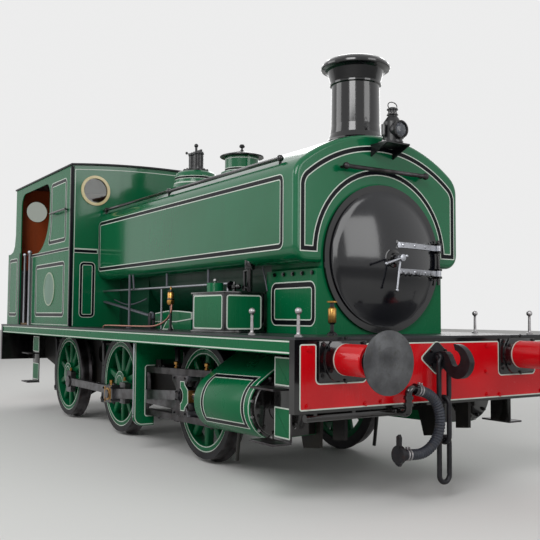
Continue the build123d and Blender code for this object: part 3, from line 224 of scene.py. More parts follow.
def startMaterial(name, levels):
    material = bpy.data.materials.new(name)
    material.use_nodes = True
    shader = material.node_tree.nodes["Principled BSDF"]
    for label, value in levels.items():
        shader.inputs[label].default_value = value
    return material, material.node_tree, shader


def makeFinish(name, group, tones, numbers, bump, levels):
    # tones and numbers come in the order of the group's inputs
    material, tree, shader = startMaterial(name, levels)
    box = tree.nodes.new("ShaderNodeGroup")
    box.node_tree = group
    relief = tree.nodes.new("ShaderNodeBump")
    place = tree.nodes.new("ShaderNodeTexCoord").outputs["Object"]
    for socket, value in zip(box.inputs, (place, *(tint(*tone) for tone in tones), *numbers)):
        setSocket(tree, socket, value)
    for label, value in (("Strength", bump[0]), ("Distance", bump[1]), ("Height", box.outputs["Height"])):
        setSocket(tree, relief.inputs[label], value)
    tree.links.new(box.outputs["Color"], shader.inputs["Base Color"])
    tree.links.new(box.outputs["Roughness"], shader.inputs["Roughness"])
    tree.links.new(relief.outputs["Normal"], shader.inputs["Normal"])
    return material


soot = (28, 27, 26)
roadDust = (92, 84, 72)
rust = (96, 58, 38)
# each row: colour, faded, dirt, then fade, runs, dust and roughness, then coat and shine
paintRows = {
    "greenPaint": ((8, 90, 56), (16, 102, 68), (34, 56, 44), 0.5, 0.12, 0.3, 0.15, 0.3, 0.3),
    "panelGreen": ((6, 92, 56), (12, 102, 66), (30, 56, 42), 0.5, 0.12, 0.35, 0.24, 0.06, 0.12),
    "deepGreen": ((8, 58, 40), (16, 68, 48), soot, 0.5, 0.35, 0.5, 0.3, 0.15, 0.2),
    "blackPaint": ((12, 12, 15), (22, 22, 26), roadDust, 0.5, 0.03, 0.18, 0.12, 0.5, 0.4),
    "blackSatin": ((15, 15, 18), (26, 26, 30), (52, 50, 48), 0.6, 0.08, 0.2, 0.34, 0.15, 0.4),
    "frameBlack": ((16, 16, 18), (28, 27, 27), (66, 60, 52), 0.6, 0.3, 0.5, 0.45, 0.0, 0.2),
    "footplateBlack": ((24, 26, 30), (38, 40, 46), (56, 54, 50), 0.7, 0.25, 0.2, 0.34, 0.1, 0.4),
    "roofBlack": ((22, 22, 26), (38, 38, 42), (54, 52, 50), 0.7, 0.2, 0.0, 0.5, 0.0, 0.4),
    "redPaint": ((188, 8, 22), (196, 24, 32), (70, 24, 24), 0.5, 0.12, 0.2, 0.22, 0.3, 0.25),
    "whiteLine": ((198, 208, 198), (176, 188, 178), (110, 122, 112), 0.6, 0.12, 0.3, 0.4, 0.0, 0.1),
    "blackLine": ((12, 12, 18), (22, 22, 30), (40, 40, 42), 0.5, 0.08, 0.15, 0.3, 0.0, 0.12),
    "doorBlack": ((14, 15, 20), (24, 25, 32), (40, 40, 44), 0.5, 0.05, 0.1, 0.12, 0.4, 0.4),
    "creamRim": ((200, 184, 138), (182, 162, 116), (112, 92, 62), 0.7, 0.25, 0.0, 0.3, 0.3, 0.4),
    "cabBrown": ((140, 62, 32), (158, 78, 44), (42, 26, 20), 0.6, 0.35, 0.2, 0.3, 0.3, 0.4),
    "cabDark": ((22, 21, 22), (34, 32, 32), soot, 0.5, 0.3, 0.2, 0.5, 0.0, 0.4),
    "sootBlack": ((20, 19, 18), (34, 31, 28), soot, 0.7, 0.4, 0.5, 0.8, 0.0, 0.1),
    "paleGrey": ((138, 138, 158), (152, 152, 168), (92, 90, 96), 0.5, 0.2, 0.0, 0.45, 0.1, 0.4),
    "leverGrey": ((78, 80, 88), (96, 98, 106), (48, 46, 46), 0.7, 0.3, 0.2, 0.4, 0.1, 0.4),
    "plateField": ((62, 104, 82), (78, 120, 98), (48, 62, 54), 0.6, 0.2, 0.0, 0.3, 0.2, 0.4),
    "plateRim": ((150, 164, 142), (168, 178, 158), (92, 98, 84), 0.6, 0.2, 0.0, 0.3, 0.2, 0.4),
    "gaugeFace": ((214, 212, 200), (200, 196, 182), (140, 132, 116), 0.5, 0.1, 0.0, 0.3, 0.4, 0.4),
    "floorBoards": ((92, 72, 50), (116, 94, 68), soot, 0.8, 0.5, 0.0, 0.7, 0.0, 0.4),
}
# each row: metal, oil, rust, then oily, rusty, scale and roughness, then metallic and the bump's two numbers
metalRows = {
    "rodSteel": ((112, 111, 114), (62, 60, 60), rust, 0.8, 0.1, 9.0, 0.3, 1.0, 0.2, 0.001),
    "brightSteel": ((164, 166, 172), (134, 135, 140), rust, 0.3, 0.02, 12.0, 0.3, 1.0, 0.06, 0.0005),
    # worn steel: metal and oil tones set darker than the steel itself, real oily steel with painted shade
    # mixed in, as for the slide bars in shadow
    "wornSteel": ((82, 80, 82), (40, 37, 38), rust, 0.85, 0.12, 8.0, 0.38, 1.0, 0.2, 0.001),
    "tyreSteel": ((46, 46, 49), (24, 24, 26), rust, 0.7, 0.12, 6.0, 0.42, 0.7, 0.2, 0.001),
    "bufferFace": ((92, 93, 95), (50, 50, 52), (66, 66, 56), 0.8, 0.3, 6.0, 0.4, 0.85, 0.3, 0.002),
    "forgedBlack": ((36, 36, 40), (18, 18, 21), rust, 0.6, 0.1, 16.0, 0.4, 0.5, 0.4, 0.003),
    "postSteel": ((164, 162, 164), (128, 124, 122), rust, 0.4, 0.15, 30.0, 0.36, 1.0, 0.2, 0.001),
    "brassMetal": ((176, 134, 76), (116, 82, 44), (72, 54, 34), 0.6, 0.25, 18.0, 0.28, 1.0, 0.2, 0.001),
    "copperMetal": ((206, 150, 134), (150, 96, 80), (96, 62, 50), 0.45, 0.12, 14.0, 0.28, 1.0, 0.2, 0.001),
    "hoseRubber": ((40, 44, 54), (24, 27, 34), roadDust, 0.6, 0.18, 20.0, 0.5, 0.0, 0.3, 0.001),
}
finishes = {}
for name, row in paintRows.items():
    levels = {"Specular IOR Level": row[8], "Coat Weight": row[7], "Coat Roughness": 0.08}
    finishes[name] = makeFinish(name, paintGroup, row[:3], row[3:7], (0.12, 0.002), levels)
for name, row in metalRows.items():
    finishes[name] = makeFinish(name, metalGroup, row[:3], row[3:7], row[8:], {"Metallic": row[7]})
glassLevels = {"Base Color": tint(160, 166, 158), "Roughness": 0.03, "Transmission Weight": 1.0, "IOR": 1.45}
finishes["clearGlass"] = startMaterial("clearGlass", glassLevels)[0]
print("materials made")


# small shapes that the pieces are built from
def finishPiece(name, bm, finish, body="chassis", angle=32):
    mesh = bpy.data.meshes.new(name)
    bm.to_mesh(mesh)
    bm.free()
    for label in finish.split():
        mesh.materials.append(finishes[label])
    mesh.shade_smooth()
    mesh.set_sharp_from_angle(angle=math.radians(angle))
    piece = linkObject(name, mesh)
    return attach(piece, body)


def bodyOf(node):
    return nodes[node]["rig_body"]


def setSlot(verts, slot):
    for face in {face for vert in verts for face in vert.link_faces}:
        face.material_index = slot


def edgesOf(verts):
    return list({edge for vert in verts for edge in vert.link_edges})


def sharpOf(edges, angle):
    return [edge for edge in edges if len(edge.link_faces) == 2 and edge.calc_face_angle() > angle]


def soften(bm, edges, offset, segments=2):
    bmesh.ops.bevel(bm, geom=edges, offset=offset, offset_type="OFFSET", segments=segments, profile=0.5,
                    affect="EDGES", clamp_overlap=True, material=-1)


def aimed(start, direction):
    return Matrix.Translation(start) @ Vector(direction).to_track_quat("Z", "Y").to_matrix().to_4x4()


def upright(x, y, z=0.0):
    return Matrix.Translation((x, y, z))


def addBlock(bm, low, high, slot=0, rounding=0.0, turn=None):
    low, high = Vector(low), Vector(high)
    place = Matrix.Translation((low + high) / 2) @ Matrix.Diagonal((*(high - low), 1))
    made = bmesh.ops.create_cube(bm, size=1, matrix=(turn or Matrix()) @ place)["verts"]
    setSlot(made, slot)
    if rounding:
        soften(bm, edgesOf(made), rounding)


def addRound(bm, start, end, radius, slot=0, endRadius=None, steps=24, rounding=0.0):
    start, end = Vector(start), Vector(end)
    place = aimed((start + end) / 2, end - start)
    farRadius = radius if endRadius is None else endRadius
    made = bmesh.ops.create_cone(bm, cap_ends=True, segments=steps, radius1=radius, radius2=farRadius,
                                 depth=(end - start).length, matrix=place)["verts"]
    setSlot(made, slot)
    if rounding:
        soften(bm, sharpOf(edgesOf(made), 0.9), rounding)


def addBall(bm, centre, radius, slot=0, flat=1.0, axis=(0, 0, 1), steps=14):
    place = aimed(centre, axis) @ Matrix.Diagonal((1, 1, flat, 1))
    made = bmesh.ops.create_uvsphere(bm, u_segments=steps, v_segments=max(4, steps // 2), radius=radius,
                                     matrix=place)["verts"]
    setSlot(made, slot)


def connected(verts):
    found, waiting = set(verts), list(verts)
    while waiting:
        vert = waiting.pop()
        for edge in vert.link_edges:
            other = edge.other_vert(vert)
            if other not in found:
                found.add(other)
                waiting.append(other)
    return list(found)


def addTurned(bm, place, profile, slot=0, steps=32):
    # the profile is radius and height pairs about the place's own Z
    verts = [bm.verts.new(place @ Vector((radius, 0, height))) for radius, height in profile]
    edges = [bm.edges.new(pair) for pair in zip(verts, verts[1:])]
    spun = bmesh.ops.spin(bm, geom=verts + edges, cent=place.translation, angle=math.tau, steps=steps,
                          axis=place.to_3x3() @ Vector((0, 0, 1)), use_merge=True, use_duplicate=False)
    touched = set(verts) | {item for item in spun["geom_last"] if isinstance(item, bmesh.types.BMVert)}
    shell = connected(touched)
    bmesh.ops.remove_doubles(bm, verts=shell, dist=0.00002)
    shell = connected([vert for vert in shell if vert.is_valid])
    setSlot(shell, slot)
    bmesh.ops.recalc_face_normals(bm, faces=list({face for vert in shell for face in vert.link_faces}))


def addBand(bm, place, radius, low, high, slot, steps=40, proud=0.0015):
    # a painted hoop on a round piece
    inside, outside = radius - 0.002, radius + proud
    addTurned(bm, place, ((inside, low), (outside, low), (outside, high), (inside, high)), slot, steps)


def ringOf(count, radius, phase=0.0):
    # equal steps round a circle, as pairs
    turns = [math.tau * (number + phase) / count for number in range(count)]
    return [(radius * math.cos(turn), radius * math.sin(turn)) for turn in turns]


def addBolt(bm, centre, axis, radius, slot=0, height=None):
    height = height or radius * 0.9
    start, way = Vector(centre), Vector(axis).normalized()
    end = start + way * height
    addRound(bm, start, end, radius, slot, steps=6)
    addRound(bm, end, end + way * height * 0.4, radius * 0.55, slot, steps=8)


def addRivet(bm, centre, axis, radius, slot=0):
    addBall(bm, centre, radius, slot, 0.55, axis, 8)


def curveMesh(name, points, detail, radius=0.0):
    # a smooth line through the points, with a round section where a radius is given
    curve = bpy.data.curves.new(name, "CURVE")
    curve.dimensions = "3D"
    curve.bevel_depth = radius
    curve.bevel_resolution = 3
    curve.use_fill_caps = radius > 0
    spline = curve.splines.new("NURBS")
    spline.points.add(len(points) - 1)
    for point, place in zip(spline.points, points):
        point.co = (*place, 1)
    spline.order_u = 3
    spline.use_endpoint_u = True
    spline.resolution_u = detail
    holder = linkObject(name + "Line", curve)
    mesh = bpy.data.meshes.new_from_object(holder.evaluated_get(bpy.context.evaluated_depsgraph_get()))
    bpy.data.objects.remove(holder)
    return mesh


def addPipe(name, points, radius, finish, body="chassis"):
    mesh = curveMesh(name, points, 6, radius)
    mesh.name = name
    mesh.materials.clear()
    mesh.materials.append(finishes[finish])
    mesh.shade_smooth()
    piece = linkObject(name, mesh)
    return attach(piece, body)


def dressNode(node, finish, choose, rounding=0.0):
    # a merged copy of a frame node, with its own finishes and softened edges
    bm = bmesh.new()
    bm.from_mesh(nodes[node].data)
    bmesh.ops.remove_doubles(bm, verts=bm.verts, dist=0.00001)
    bmesh.ops.dissolve_limit(bm, angle_limit=math.radians(0.5), verts=bm.verts, edges=bm.edges)
    if rounding:
        soften(bm, sharpOf(bm.edges, 0.7), rounding)
    for face in bm.faces:
        face.material_index = int(choose(face.calc_center_median(), face.normal))
    piece = finishPiece(node + "Dressed", bm, finish, bodyOf(node))
    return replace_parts(piece, node)


# the front brake hose comes first: its line repeats the frame's route
hoseSettings = {
    "x": 3.765, "radius": 0.033, "rib": 0.005, "pitch": 0.021, "around": 20, "perRib": 8,
    "route": ((-0.290, 0.790), (-0.184, 0.767), (-0.100, 0.697), (-0.060, 0.596), (-0.071, 0.488),
              (-0.132, 0.398), (-0.228, 0.347), (-0.336, 0.347), (-0.406, 0.354)),
}


def makeHose(settings):
    route = [(settings["x"], y, z) for y, z in settings["route"]]
    line = [vert.co.copy() for vert in curveMesh("hose", route, 24).vertices]
    bm = bmesh.new()
    total = sum((after - before).length for before, after in zip(line, line[1:]))
    stations = int(total / settings["pitch"]) * settings["perRib"]
    sideways = Vector((1, 0, 0))
    rings = []
    for number in range(stations + 1):
        distance = total * number / stations
        travelled = 0.0
        for before, after in zip(line, line[1:]):
            step = (after - before).length
            if travelled + step >= distance - 1e-9:
                break
            travelled += step
        along = (after - before).normalized()
        centre = before + along * (distance - travelled)
        wave = 0.5 - 0.5 * math.cos(math.tau * number / settings["perRib"])
        made = bmesh.ops.create_circle(bm, cap_ends=False, segments=settings["around"],
                                       radius=settings["radius"] + settings["rib"] * wave ** 0.6,
                                       matrix=placed(centre, sideways, along.cross(sideways), along))["verts"]
        rings.append(edgesOf(made))
    for first, second in zip(rings, rings[1:]):
        bmesh.ops.bridge_loops(bm, edges=first + second)
    for ring in (rings[0], rings[-1]):
        bmesh.ops.contextual_create(bm, geom=ring)
    bmesh.ops.recalc_face_normals(bm, faces=bm.faces)
    hose = finishPiece("brakeHose", bm, "hoseRubber", "chassis", 60)
    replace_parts(hose, "vacuum_hose")
    return hose


makeHose(hoseSettings)
print("hose made")

# finishes of the frame nodes that keep their own shape
plainFinishes = {
    "frameBlack": "frame_stretchers axleboxes frame_plate_right frame_plate_left",
    "forgedBlack": "brake_gear hose_coupling drawgear_front drawgear_rear",
    "footplateBlack": "footplate",
    "deepGreen": "boiler",
    "panelGreen": "valance_right valance_left",
    "greenPaint": "saddle_tank dome tank_filler",
    "blackPaint": "smokebox_ring chimney vacuum_standpipe buffer_beam_front buffer_beam_rear",
    "blackSatin": "filler_lid safety_valves headlamp",
    "creamRim": "porthole_rims",
    "clearGlass": "porthole_glass",
    "bufferFace": "buffer_heads_front buffer_heads_rear",
    # the slide bars take the darkened worn steel: real oil with painted shade
    "wornSteel": "slide_bars_right slide_bars_left",
    "rodSteel": "connecting_rod_right connecting_rod_left coupling_rod_right coupling_rod_left",
}
for finish, names in plainFinishes.items():
    for node in names.split():
        slots = nodes[node].data.materials
        slots.clear()
        slots.append(finishes[finish])
print("plain finishes given")

# nodes that carry more than one finish: each choice is the slot for a face
doorSettings = {
    "dish": 1.482, "crown": 3.2085, "straps": (1.859, 1.650), "strapHalf": 0.0225, "rim": 0.505,
    "dart": 3.316, "rivets": (0.10, 0.24, 0.38),
    "boss": ((0.0, 0.02), (0.075, 0.028), (0.068, 0.045), (0.048, 0.055), (0.044, 0.078), (0.0, 0.08)),
    # each handle: how far behind the dart's end, then its two ends, across and up from the middle
    "handles": ((0.005, (-0.165, -0.052), (0.040, 0.014)), (0.030, (0.0, 0.0), (-0.036, -0.250))),
}


def crownX(away):
    # the dished door's face, by the distance from its middle
    dish = doorSettings["dish"]
    return doorSettings["crown"] - dish + math.sqrt(max(0, dish ** 2 - away ** 2))


def doorFinish(centre, normal):
    away = math.hypot(centre.y, centre.z - boilerHeight)
    beside = min(abs(centre.z - height) for height in doorSettings["straps"])
    proud = centre.x > crownX(away) + 0.003 or away > doorSettings["rim"]
    return beside < doorSettings["strapHalf"] and centre.y > 0.04 and proud and centre.x > 3.11


# where finishes change, in metres: radii, distances from the middle, heights and places along the engine
limits = {
    "bore": 0.53, "boreFront": 3.07, "bunkerBack": -3.66, "tread": 0.512,
    "hubInside": 0.66, "hubOutside": 0.8165, "pinCollar": 1.0475, "bracketHighlightEdge": 1.1495, "bracketFoot": 0.29,
    "cladding": (2.5255, 3.3755), "treads": (0.432, 0.797), "treadHalf": 0.0075,
    "buffer": (0.864, 1.009), "barrel": 0.107, "barrelStart": 3.702,
    "boxCap": (2.016, 0.925), "capRadius": 0.075, "capFoot": 1.489, "knobRadius": 0.03, "knobFoot": 1.570,
    "frontCup": (1.249, 1.370, 1.392), "sideCup": (1.385, 1.512, 1.530),
    "tankRail": 0.775, "tankRailFoot": 2.4, "frontRail": 3.06, "frontRailFoot": 2.3, "posts": 2.9,
    "postsTop": 1.4, "upperRails": 2.45,
}


def smokeboxFinish(centre, normal):
    inBore = math.hypot(centre.y, centre.z - boilerHeight) < limits["bore"]
    return inBore and centre.x < limits["boreFront"] and normal.x > -0.5


def cabSideFinish(centre, normal):
    return normal.y * centre.y < -0.5 * abs(centre.y)


def sheetFinish(inwardX):
    return lambda centre, normal: normal.x * inwardX > 0.5


def roofFinish(centre, normal):
    return normal.z < -0.3


def bunkerFinish(centre, normal):
    return not (normal.x < -0.5 and centre.x < limits["bunkerBack"])


def railFinish(centre, normal):
    if abs(abs(centre.y) - limits["tankRail"]) < 0.035 and centre.z > limits["tankRailFoot"]:
        return 0
    if centre.x > limits["frontRail"] and centre.z > limits["frontRailFoot"]:
        return 1
    if centre.x > limits["posts"] and centre.z < limits["postsTop"]:
        return 2
    return 0 if centre.z > limits["upperRails"] else 3


def boxFinish(centre, normal):
    capX, capY = limits["boxCap"]
    away = math.hypot(centre.x - capX, abs(centre.y) - capY)
    if centre.z > limits["knobFoot"] and away < limits["knobRadius"]:
        return 2
    return away < limits["capRadius"] and centre.z > limits["capFoot"]


def cupFinish(centre, normal):
    foot, top, lid = limits["frontCup"] if centre.x > 2 else limits["sideCup"]
    return foot < centre.z < top or centre.z > lid


def stepFinish(centre, normal):
    return any(abs(centre.z - tread) < limits["treadHalf"] for tread in limits["treads"])


def barrelFinish(centre, normal):
    bufferY, bufferZ = limits["buffer"]
    away = math.hypot(abs(centre.y) - bufferY, centre.z - bufferZ)
    return away < limits["barrel"] and abs(centre.x) > limits["barrelStart"]


def cylinderFinish(centre, normal):
    along = (centre.x - driveX) * math.cos(motionLean) + (centre.z - axleHeight) * math.sin(motionLean)
    rear, front = limits["cladding"]
    return along > front or along < rear


def crossheadFinish(centre, normal):
    return 2 if abs(centre.y) > limits["pinCollar"] else abs(normal.y) <= 0.9


# the bracket's outer edge is bright steel as a painted highlight along its rounded edge; its foot is bright
# steel too
def bracketFinish(centre, normal):
    return abs(centre.y) > limits["bracketHighlightEdge"] or centre.z < limits["bracketFoot"]


def wheelFinish(centre, normal):
    return abs(centre.y) < limits["hubInside"] or abs(centre.y) > limits["hubOutside"]


def tyreFinish(axleX):
    def choose(centre, normal):
        onTread = math.hypot(centre.x - axleX, centre.z - axleHeight) > limits["tread"]
        return onTread and abs(normal.y) < 0.9
    return choose


dressNode("smokebox_door", "doorBlack brightSteel", doorFinish)
dressNode("smokebox", "panelGreen sootBlack", smokeboxFinish)
dressNode("cab_front", "greenPaint cabBrown", sheetFinish(-1))
dressNode("cab_rear", "greenPaint cabBrown", sheetFinish(1))
dressNode("cab_roof", "roofBlack cabDark", roofFinish, 0.004)
dressNode("bunker", "panelGreen cabDark", bunkerFinish)
dressNode("handrails", "blackPaint wornSteel postSteel brightSteel", railFinish)
dressNode("footplate_boxes", "blackPaint panelGreen postSteel", boxFinish, 0.003)
dressNode("lubricators", "blackSatin brassMetal", cupFinish)
dressNode("steps", "blackPaint wornSteel", stepFinish, 0.002)
for end in ("front", "rear"):
    dressNode("buffer_housings_" + end, "blackPaint redPaint", barrelFinish, 0.003)
for side, sign in sides:
    dressNode("cab_side_" + side, "panelGreen cabBrown", cabSideFinish)
    dressNode("cylinder_" + side, "panelGreen blackPaint", cylinderFinish, 0.004)
    dressNode("crosshead_" + side, "wornSteel brightSteel wornSteel", crossheadFinish, 0.003)
    dressNode("motion_bracket_" + side, "panelGreen brightSteel", bracketFinish, 0.002)
for axle, axleX in axles:
    dressNode("wheels_" + axle, "panelGreen rodSteel", wheelFinish, 0.004)
    dressNode("tyres_" + axle, "tyreSteel wornSteel", tyreFinish(axleX))
print("mixed finishes given")


# lining: flat bands of paint, a millimetre or two proud
def sideWall(y):
    return placed((0, y, 0), (1, 0, 0), (0, 0, 1), (0, 1 if y > 0 else -1, 0))


def frontWall(x, outward=1):
    return placed((x, 0, 0), (0, 1, 0), (0, 0, 1), (outward, 0, 0))


def roundCorners(bm, radius, steps):
    verts = bm.verts[:]
    radii = radius if isinstance(radius, (list, tuple)) else [radius] * len(verts)
    for vert, size in zip(verts, radii):
        if size:
            bmesh.ops.bevel(bm, geom=[vert], offset=size, offset_type="OFFSET", segments=steps, profile=0.5,
                            affect="VERTICES", material=-1)


def drawFace(bm, start, moves, steps=16):
    # a pen goes round: (a, b) is a straight run, (a, b, degrees) an arc about that centre
    vert = first = bm.verts.new((*start, 0))
    for move in moves:
        if len(move) == 2:
            after = bm.verts.new((*move, 0))
            bm.edges.new((vert, after))
            vert = after
        else:
            spun = bmesh.ops.spin(bm, geom=[vert], cent=(*move[:2], 0), axis=(0, 0, 1),
                                  angle=math.radians(move[2]), steps=steps, use_duplicate=False)
            vert = [item for item in spun["geom_last"] if isinstance(item, bmesh.types.BMVert)][0]
    bm.edges.new((vert, first))
    bmesh.ops.contextual_create(bm, geom=bm.edges[:])


def joinInto(bm, part):
    mesh = bpy.data.meshes.new("part")
    part.to_mesh(mesh)
    part.free()
    bm.from_mesh(mesh)
    bpy.data.meshes.remove(mesh)


def addPanel(bm, place, corners=None, bands=(), centre=None, radius=0.0, thick=0.0015, circle=None, pen=None,
             shape=None, steps=5):
    # bands run inwards from the edge, each a width and a finish; with no centre finish the middle is open
    part = bmesh.new()
    if circle:
        bmesh.ops.create_circle(part, cap_ends=True, segments=steps, radius=circle[2],
                                matrix=upright(circle[0], circle[1]))
    elif pen:
        drawFace(part, *pen)
    else:
        part.faces.new([part.verts.new((a, b, 0)) for a, b in corners])
        roundCorners(part, radius, steps)
    face = part.faces[:][0]
    bmesh.ops.recalc_face_normals(part, faces=[face])
    if face.normal.z < 0:
        bmesh.ops.reverse_faces(part, faces=[face])
    for width, slot in bands:
        ring = bmesh.ops.inset_region(part, faces=[face], thickness=width, use_boundary=True,
                                      use_even_offset=True)["faces"]
        for piece in ring:
            piece.material_index = slot
    if centre is None:
        bmesh.ops.delete(part, geom=[face], context="FACES")
    else:
        face.material_index = centre
    top = bmesh.ops.extrude_face_region(part, geom=part.faces[:], use_keep_orig=True)["geom"]
    raised = [item for item in top if isinstance(item, bmesh.types.BMVert)]
    bmesh.ops.translate(part, verts=raised, vec=(0, 0, thick))
    if shape:
        shape(part)
    bmesh.ops.transform(part, matrix=place, verts=part.verts)
    bmesh.ops.recalc_face_normals(part, faces=part.faces)
    joinInto(bm, part)


def rectangle(one, other, low, high):
    left, right = sorted((one, other))
    return ((left, low), (right, low), (right, high), (left, high))


def addStrip(bm, wall, box, slot=0, thick=0.0015, edge=0.003):
    # a thin plain strip, its box given as two sides, foot and top
    addPanel(bm, wall, rectangle(*box), ((edge, slot),), slot, thick=thick)


lined = ((0.008, 0), (0.033, 1), (0.008, 0))
broad = ((0.009, 0), (0.037, 1), (0.009, 0))
narrow = ((0.007, 0), (0.026, 1), (0.007, 0))
tankSettings = {
    "side": 0.8457, "sideBox": (-0.945, 2.925, 1.796, 2.376), "shoulder": (2.3307, 0.190),
    "front": 3.0752, "half": 0.800, "foot": 1.777, "arch": 0.638, "topCentre": 1.472, "top": 1.181,
    "corner": 0.15,
}


def lineTank(settings):
    bm = bmesh.new()
    start, bend = settings["shoulder"]

    def shoulder(part):
        # the tank's side turns over a rounded shoulder
        for vert in part.verts:
            over = vert.co.y - start
            if over > 0:
                reach = bend + vert.co.z
                vert.co.y = start + reach * math.sin(over / bend)
                vert.co.z = reach * math.cos(over / bend) - bend

    for _, sign in sides:
        addPanel(bm, sideWall(sign * settings["side"]), rectangle(*settings["sideBox"]), lined, radius=0.062,
                 shape=shoulder)
    half, foot, arch = (settings[key] for key in ("half", "foot", "arch"))
    topCentre, corner = settings["topCentre"], settings["corner"]
    inner = half - corner
    cornerZ = topCentre + math.sqrt((settings["top"] - corner) ** 2 - inner ** 2)
    tilt = math.degrees(math.atan2(cornerZ - topCentre, inner))
    moves = [(-arch, foot), (0, foot, -180), (half, foot), (half, cornerZ), (inner, cornerZ, tilt),
             (0, topCentre, 180 - 2 * tilt), (-inner, cornerZ, tilt)]
    addPanel(bm, frontWall(settings["front"]), pen=((-half, foot), moves, 32), bands=lined)
    return finishPiece("tankLining", bm, "whiteLine blackLine")


cabLining = {
    "side": 1.1732, "front": -0.9798, "roof": 11.39,
    "window": ((-1.829, 2.148), (-1.139, 2.148), (-1.139, 2.903), (-1.735, 2.903), (-1.735, 2.420),
               (-1.762, 2.300)),
    "panels": ((-2.320, -1.168, 1.266, 1.926), (-3.600, -3.170, 1.266, 2.072)),
    "white": ((-1.026, -1.018, 1.168, 2.99), (-2.476, -2.467, 1.172, 2.034), (-3.104, -3.095, 1.172, 2.128),
              (-2.466, -1.027, 1.172, 1.180)),
    "black": ((-2.523, -2.480, 1.166, 2.036), (-3.092, -3.048, 1.166, 2.130)),
    "corner": (-1.011, -0.979, 1.166, 3.012),
}


def lineCab(settings):
    bm = bmesh.new()
    front = frontWall(settings["front"])
    for _, sign in sides:
        wall = sideWall(sign * settings["side"])
        addPanel(bm, wall, settings["window"], broad, radius=(0.065, 0.065, 0.065, 0.065, 0.0, 0.0))
        for box in settings["panels"]:
            addPanel(bm, wall, rectangle(*box), broad, radius=0.065)
        addPanel(bm, wall, rectangle(-2.520, -1.013, 2.038, 2.076), ((0.006, 0),), 1, thick=0.006)
        for box in settings["white"]:
            addStrip(bm, wall, box)
        for box in settings["black"]:
            addStrip(bm, wall, box, 1, 0.005)
        addStrip(bm, wall, settings["corner"], 1, 0.004)
        addPanel(bm, front, rectangle(sign * 1.060, sign * 0.872, 1.264, 1.908), narrow, radius=0.05)
        addPanel(bm, front, rectangle(sign * 1.134, sign * 0.848, 2.008, 2.055), narrow[:1], 1, thick=0.005)
        addStrip(bm, front, (sign * 1.173, sign * 1.143, 1.160, 3.010), 1, 0.004)
        addStrip(bm, front, (sign * 1.136, sign * 1.128, 1.170, 2.006))
        for x, low, high in ((-3.6652, 1.270, 2.050), (-3.3082, 2.200, 2.500)):
            box = rectangle(sign * 0.10, sign * 1.06, low, high)
            addPanel(bm, frontWall(x, -1), box, broad, radius=0.065)
    roof = settings["roof"]
    outerBow, innerBow = (math.degrees(math.asin(half / roof)) for half in (1.134, 1.126))
    moves = [(-1.134, 2.979), (0, 3.034 - roof, -2 * outerBow), (1.134, 2.056), (0.848, 2.056),
             (0.848, 2.064), (1.126, 2.064), (1.126, 2.971), (0, 3.026 - roof, 2 * innerBow),
             (-1.126, 2.064), (-0.848, 2.064), (-0.848, 2.056)]
    addPanel(bm, front, pen=((-1.134, 2.056), moves), centre=0)
    return finishPiece("cabLining", bm, "whiteLine blackLine")


# smokebox sides, footplate boxes, valances and steps: distance from the middle, box and corner
smallSettings = {
    "smokebox": (0.6402, (2.445, 3.057, 1.216, 1.564), 0.07),
    "boxSide": (1.0752, (1.921, 2.408, 1.186, 1.462)), "boxEnds": ((2.4332, 1), (1.9028, -1)),
    "boxCorner": 0.026, "boxAcross": (0.727, 1.052),
    "valance": (1.2402, ((1.124, 1.134), (1.050, 1.060)), 3.60),
    "steps": (1.1002, ((3.207, 3.400), (-2.593, -2.347)), ((0.458, 0.668), (0.815, 1.012))),
}


def lineSmallPanels(settings):
    bm = bmesh.new()
    edged = ((0.011, 0),)
    for _, sign in sides:
        y, box, corner = settings["smokebox"]
        addPanel(bm, sideWall(sign * y), rectangle(*box), broad, radius=corner)
        y, box = settings["boxSide"]
        corner = settings["boxCorner"]
        addPanel(bm, sideWall(sign * y), rectangle(*box), edged, 2, radius=corner)
        near, far = (sign * reach for reach in settings["boxAcross"])
        for x, outward in settings["boxEnds"]:
            addPanel(bm, frontWall(x, outward), rectangle(near, far, *box[2:]), edged, 2, radius=corner)
        y, heights, half = settings["valance"]
        for low, high in heights:
            addStrip(bm, sideWall(sign * y), (-half, half, low, high), edge=0.004)
        y, places, heights = settings["steps"]
        for place in places:
            for low, high in heights:
                addPanel(bm, sideWall(sign * y), rectangle(*place, low, high), ((0.010, 0),), 2, radius=0.008)
    return finishPiece("smallLining", bm, "whiteLine blackLine panelGreen")


# the beam's red field: half its outline, each corner with its radius, and the white diamond
beamPaint = {
    "half": ((1.211, 0.684, 0.018), (1.211, 1.114, 0.018), (1.077, 1.114, 0.018), (1.077, 0.856, 0.03),
             (0.661, 0.856, 0.03), (0.661, 1.114, 0.018)),
    "diamond": ((-0.164, 1.000), (0, 0.870), (0.164, 1.000), (0, 1.130)),
}


def lineBeam(name, outward, settings):
    bm = bmesh.new()
    mirrored = [(-a, b, radius) for a, b, radius in reversed(settings["half"])]
    outline = [mirrored[-1], *settings["half"], *mirrored[:-1]]
    addPanel(bm, frontWall(outward * 3.6652, outward), [corner[:2] for corner in outline], ((0.009, 0),), 1,
             radius=[corner[2] for corner in outline], steps=4)
    addPanel(bm, frontWall(outward * 3.6668, outward), settings["diamond"], ((0.011, 0),), radius=0.03)
    return finishPiece(name, bm, "whiteLine redPaint")


lineTank(tankSettings)
lineCab(cabLining)
lineSmallPanels(smallSettings)
lineBeam("frontBeamPaint", 1, beamPaint)
lineBeam("rearBeamPaint", -1, beamPaint)
print("flat lining made")

# the cylinder's lining wraps its round cladding and runs on up the sloping sheet; a thin white band at the
# cladding's front edge is a painted highlight
cylinderSettings = {"radius": 0.2292, "rear": 2.640, "front": 3.302, "low": -41, "turn": 56, "top": 0.275}


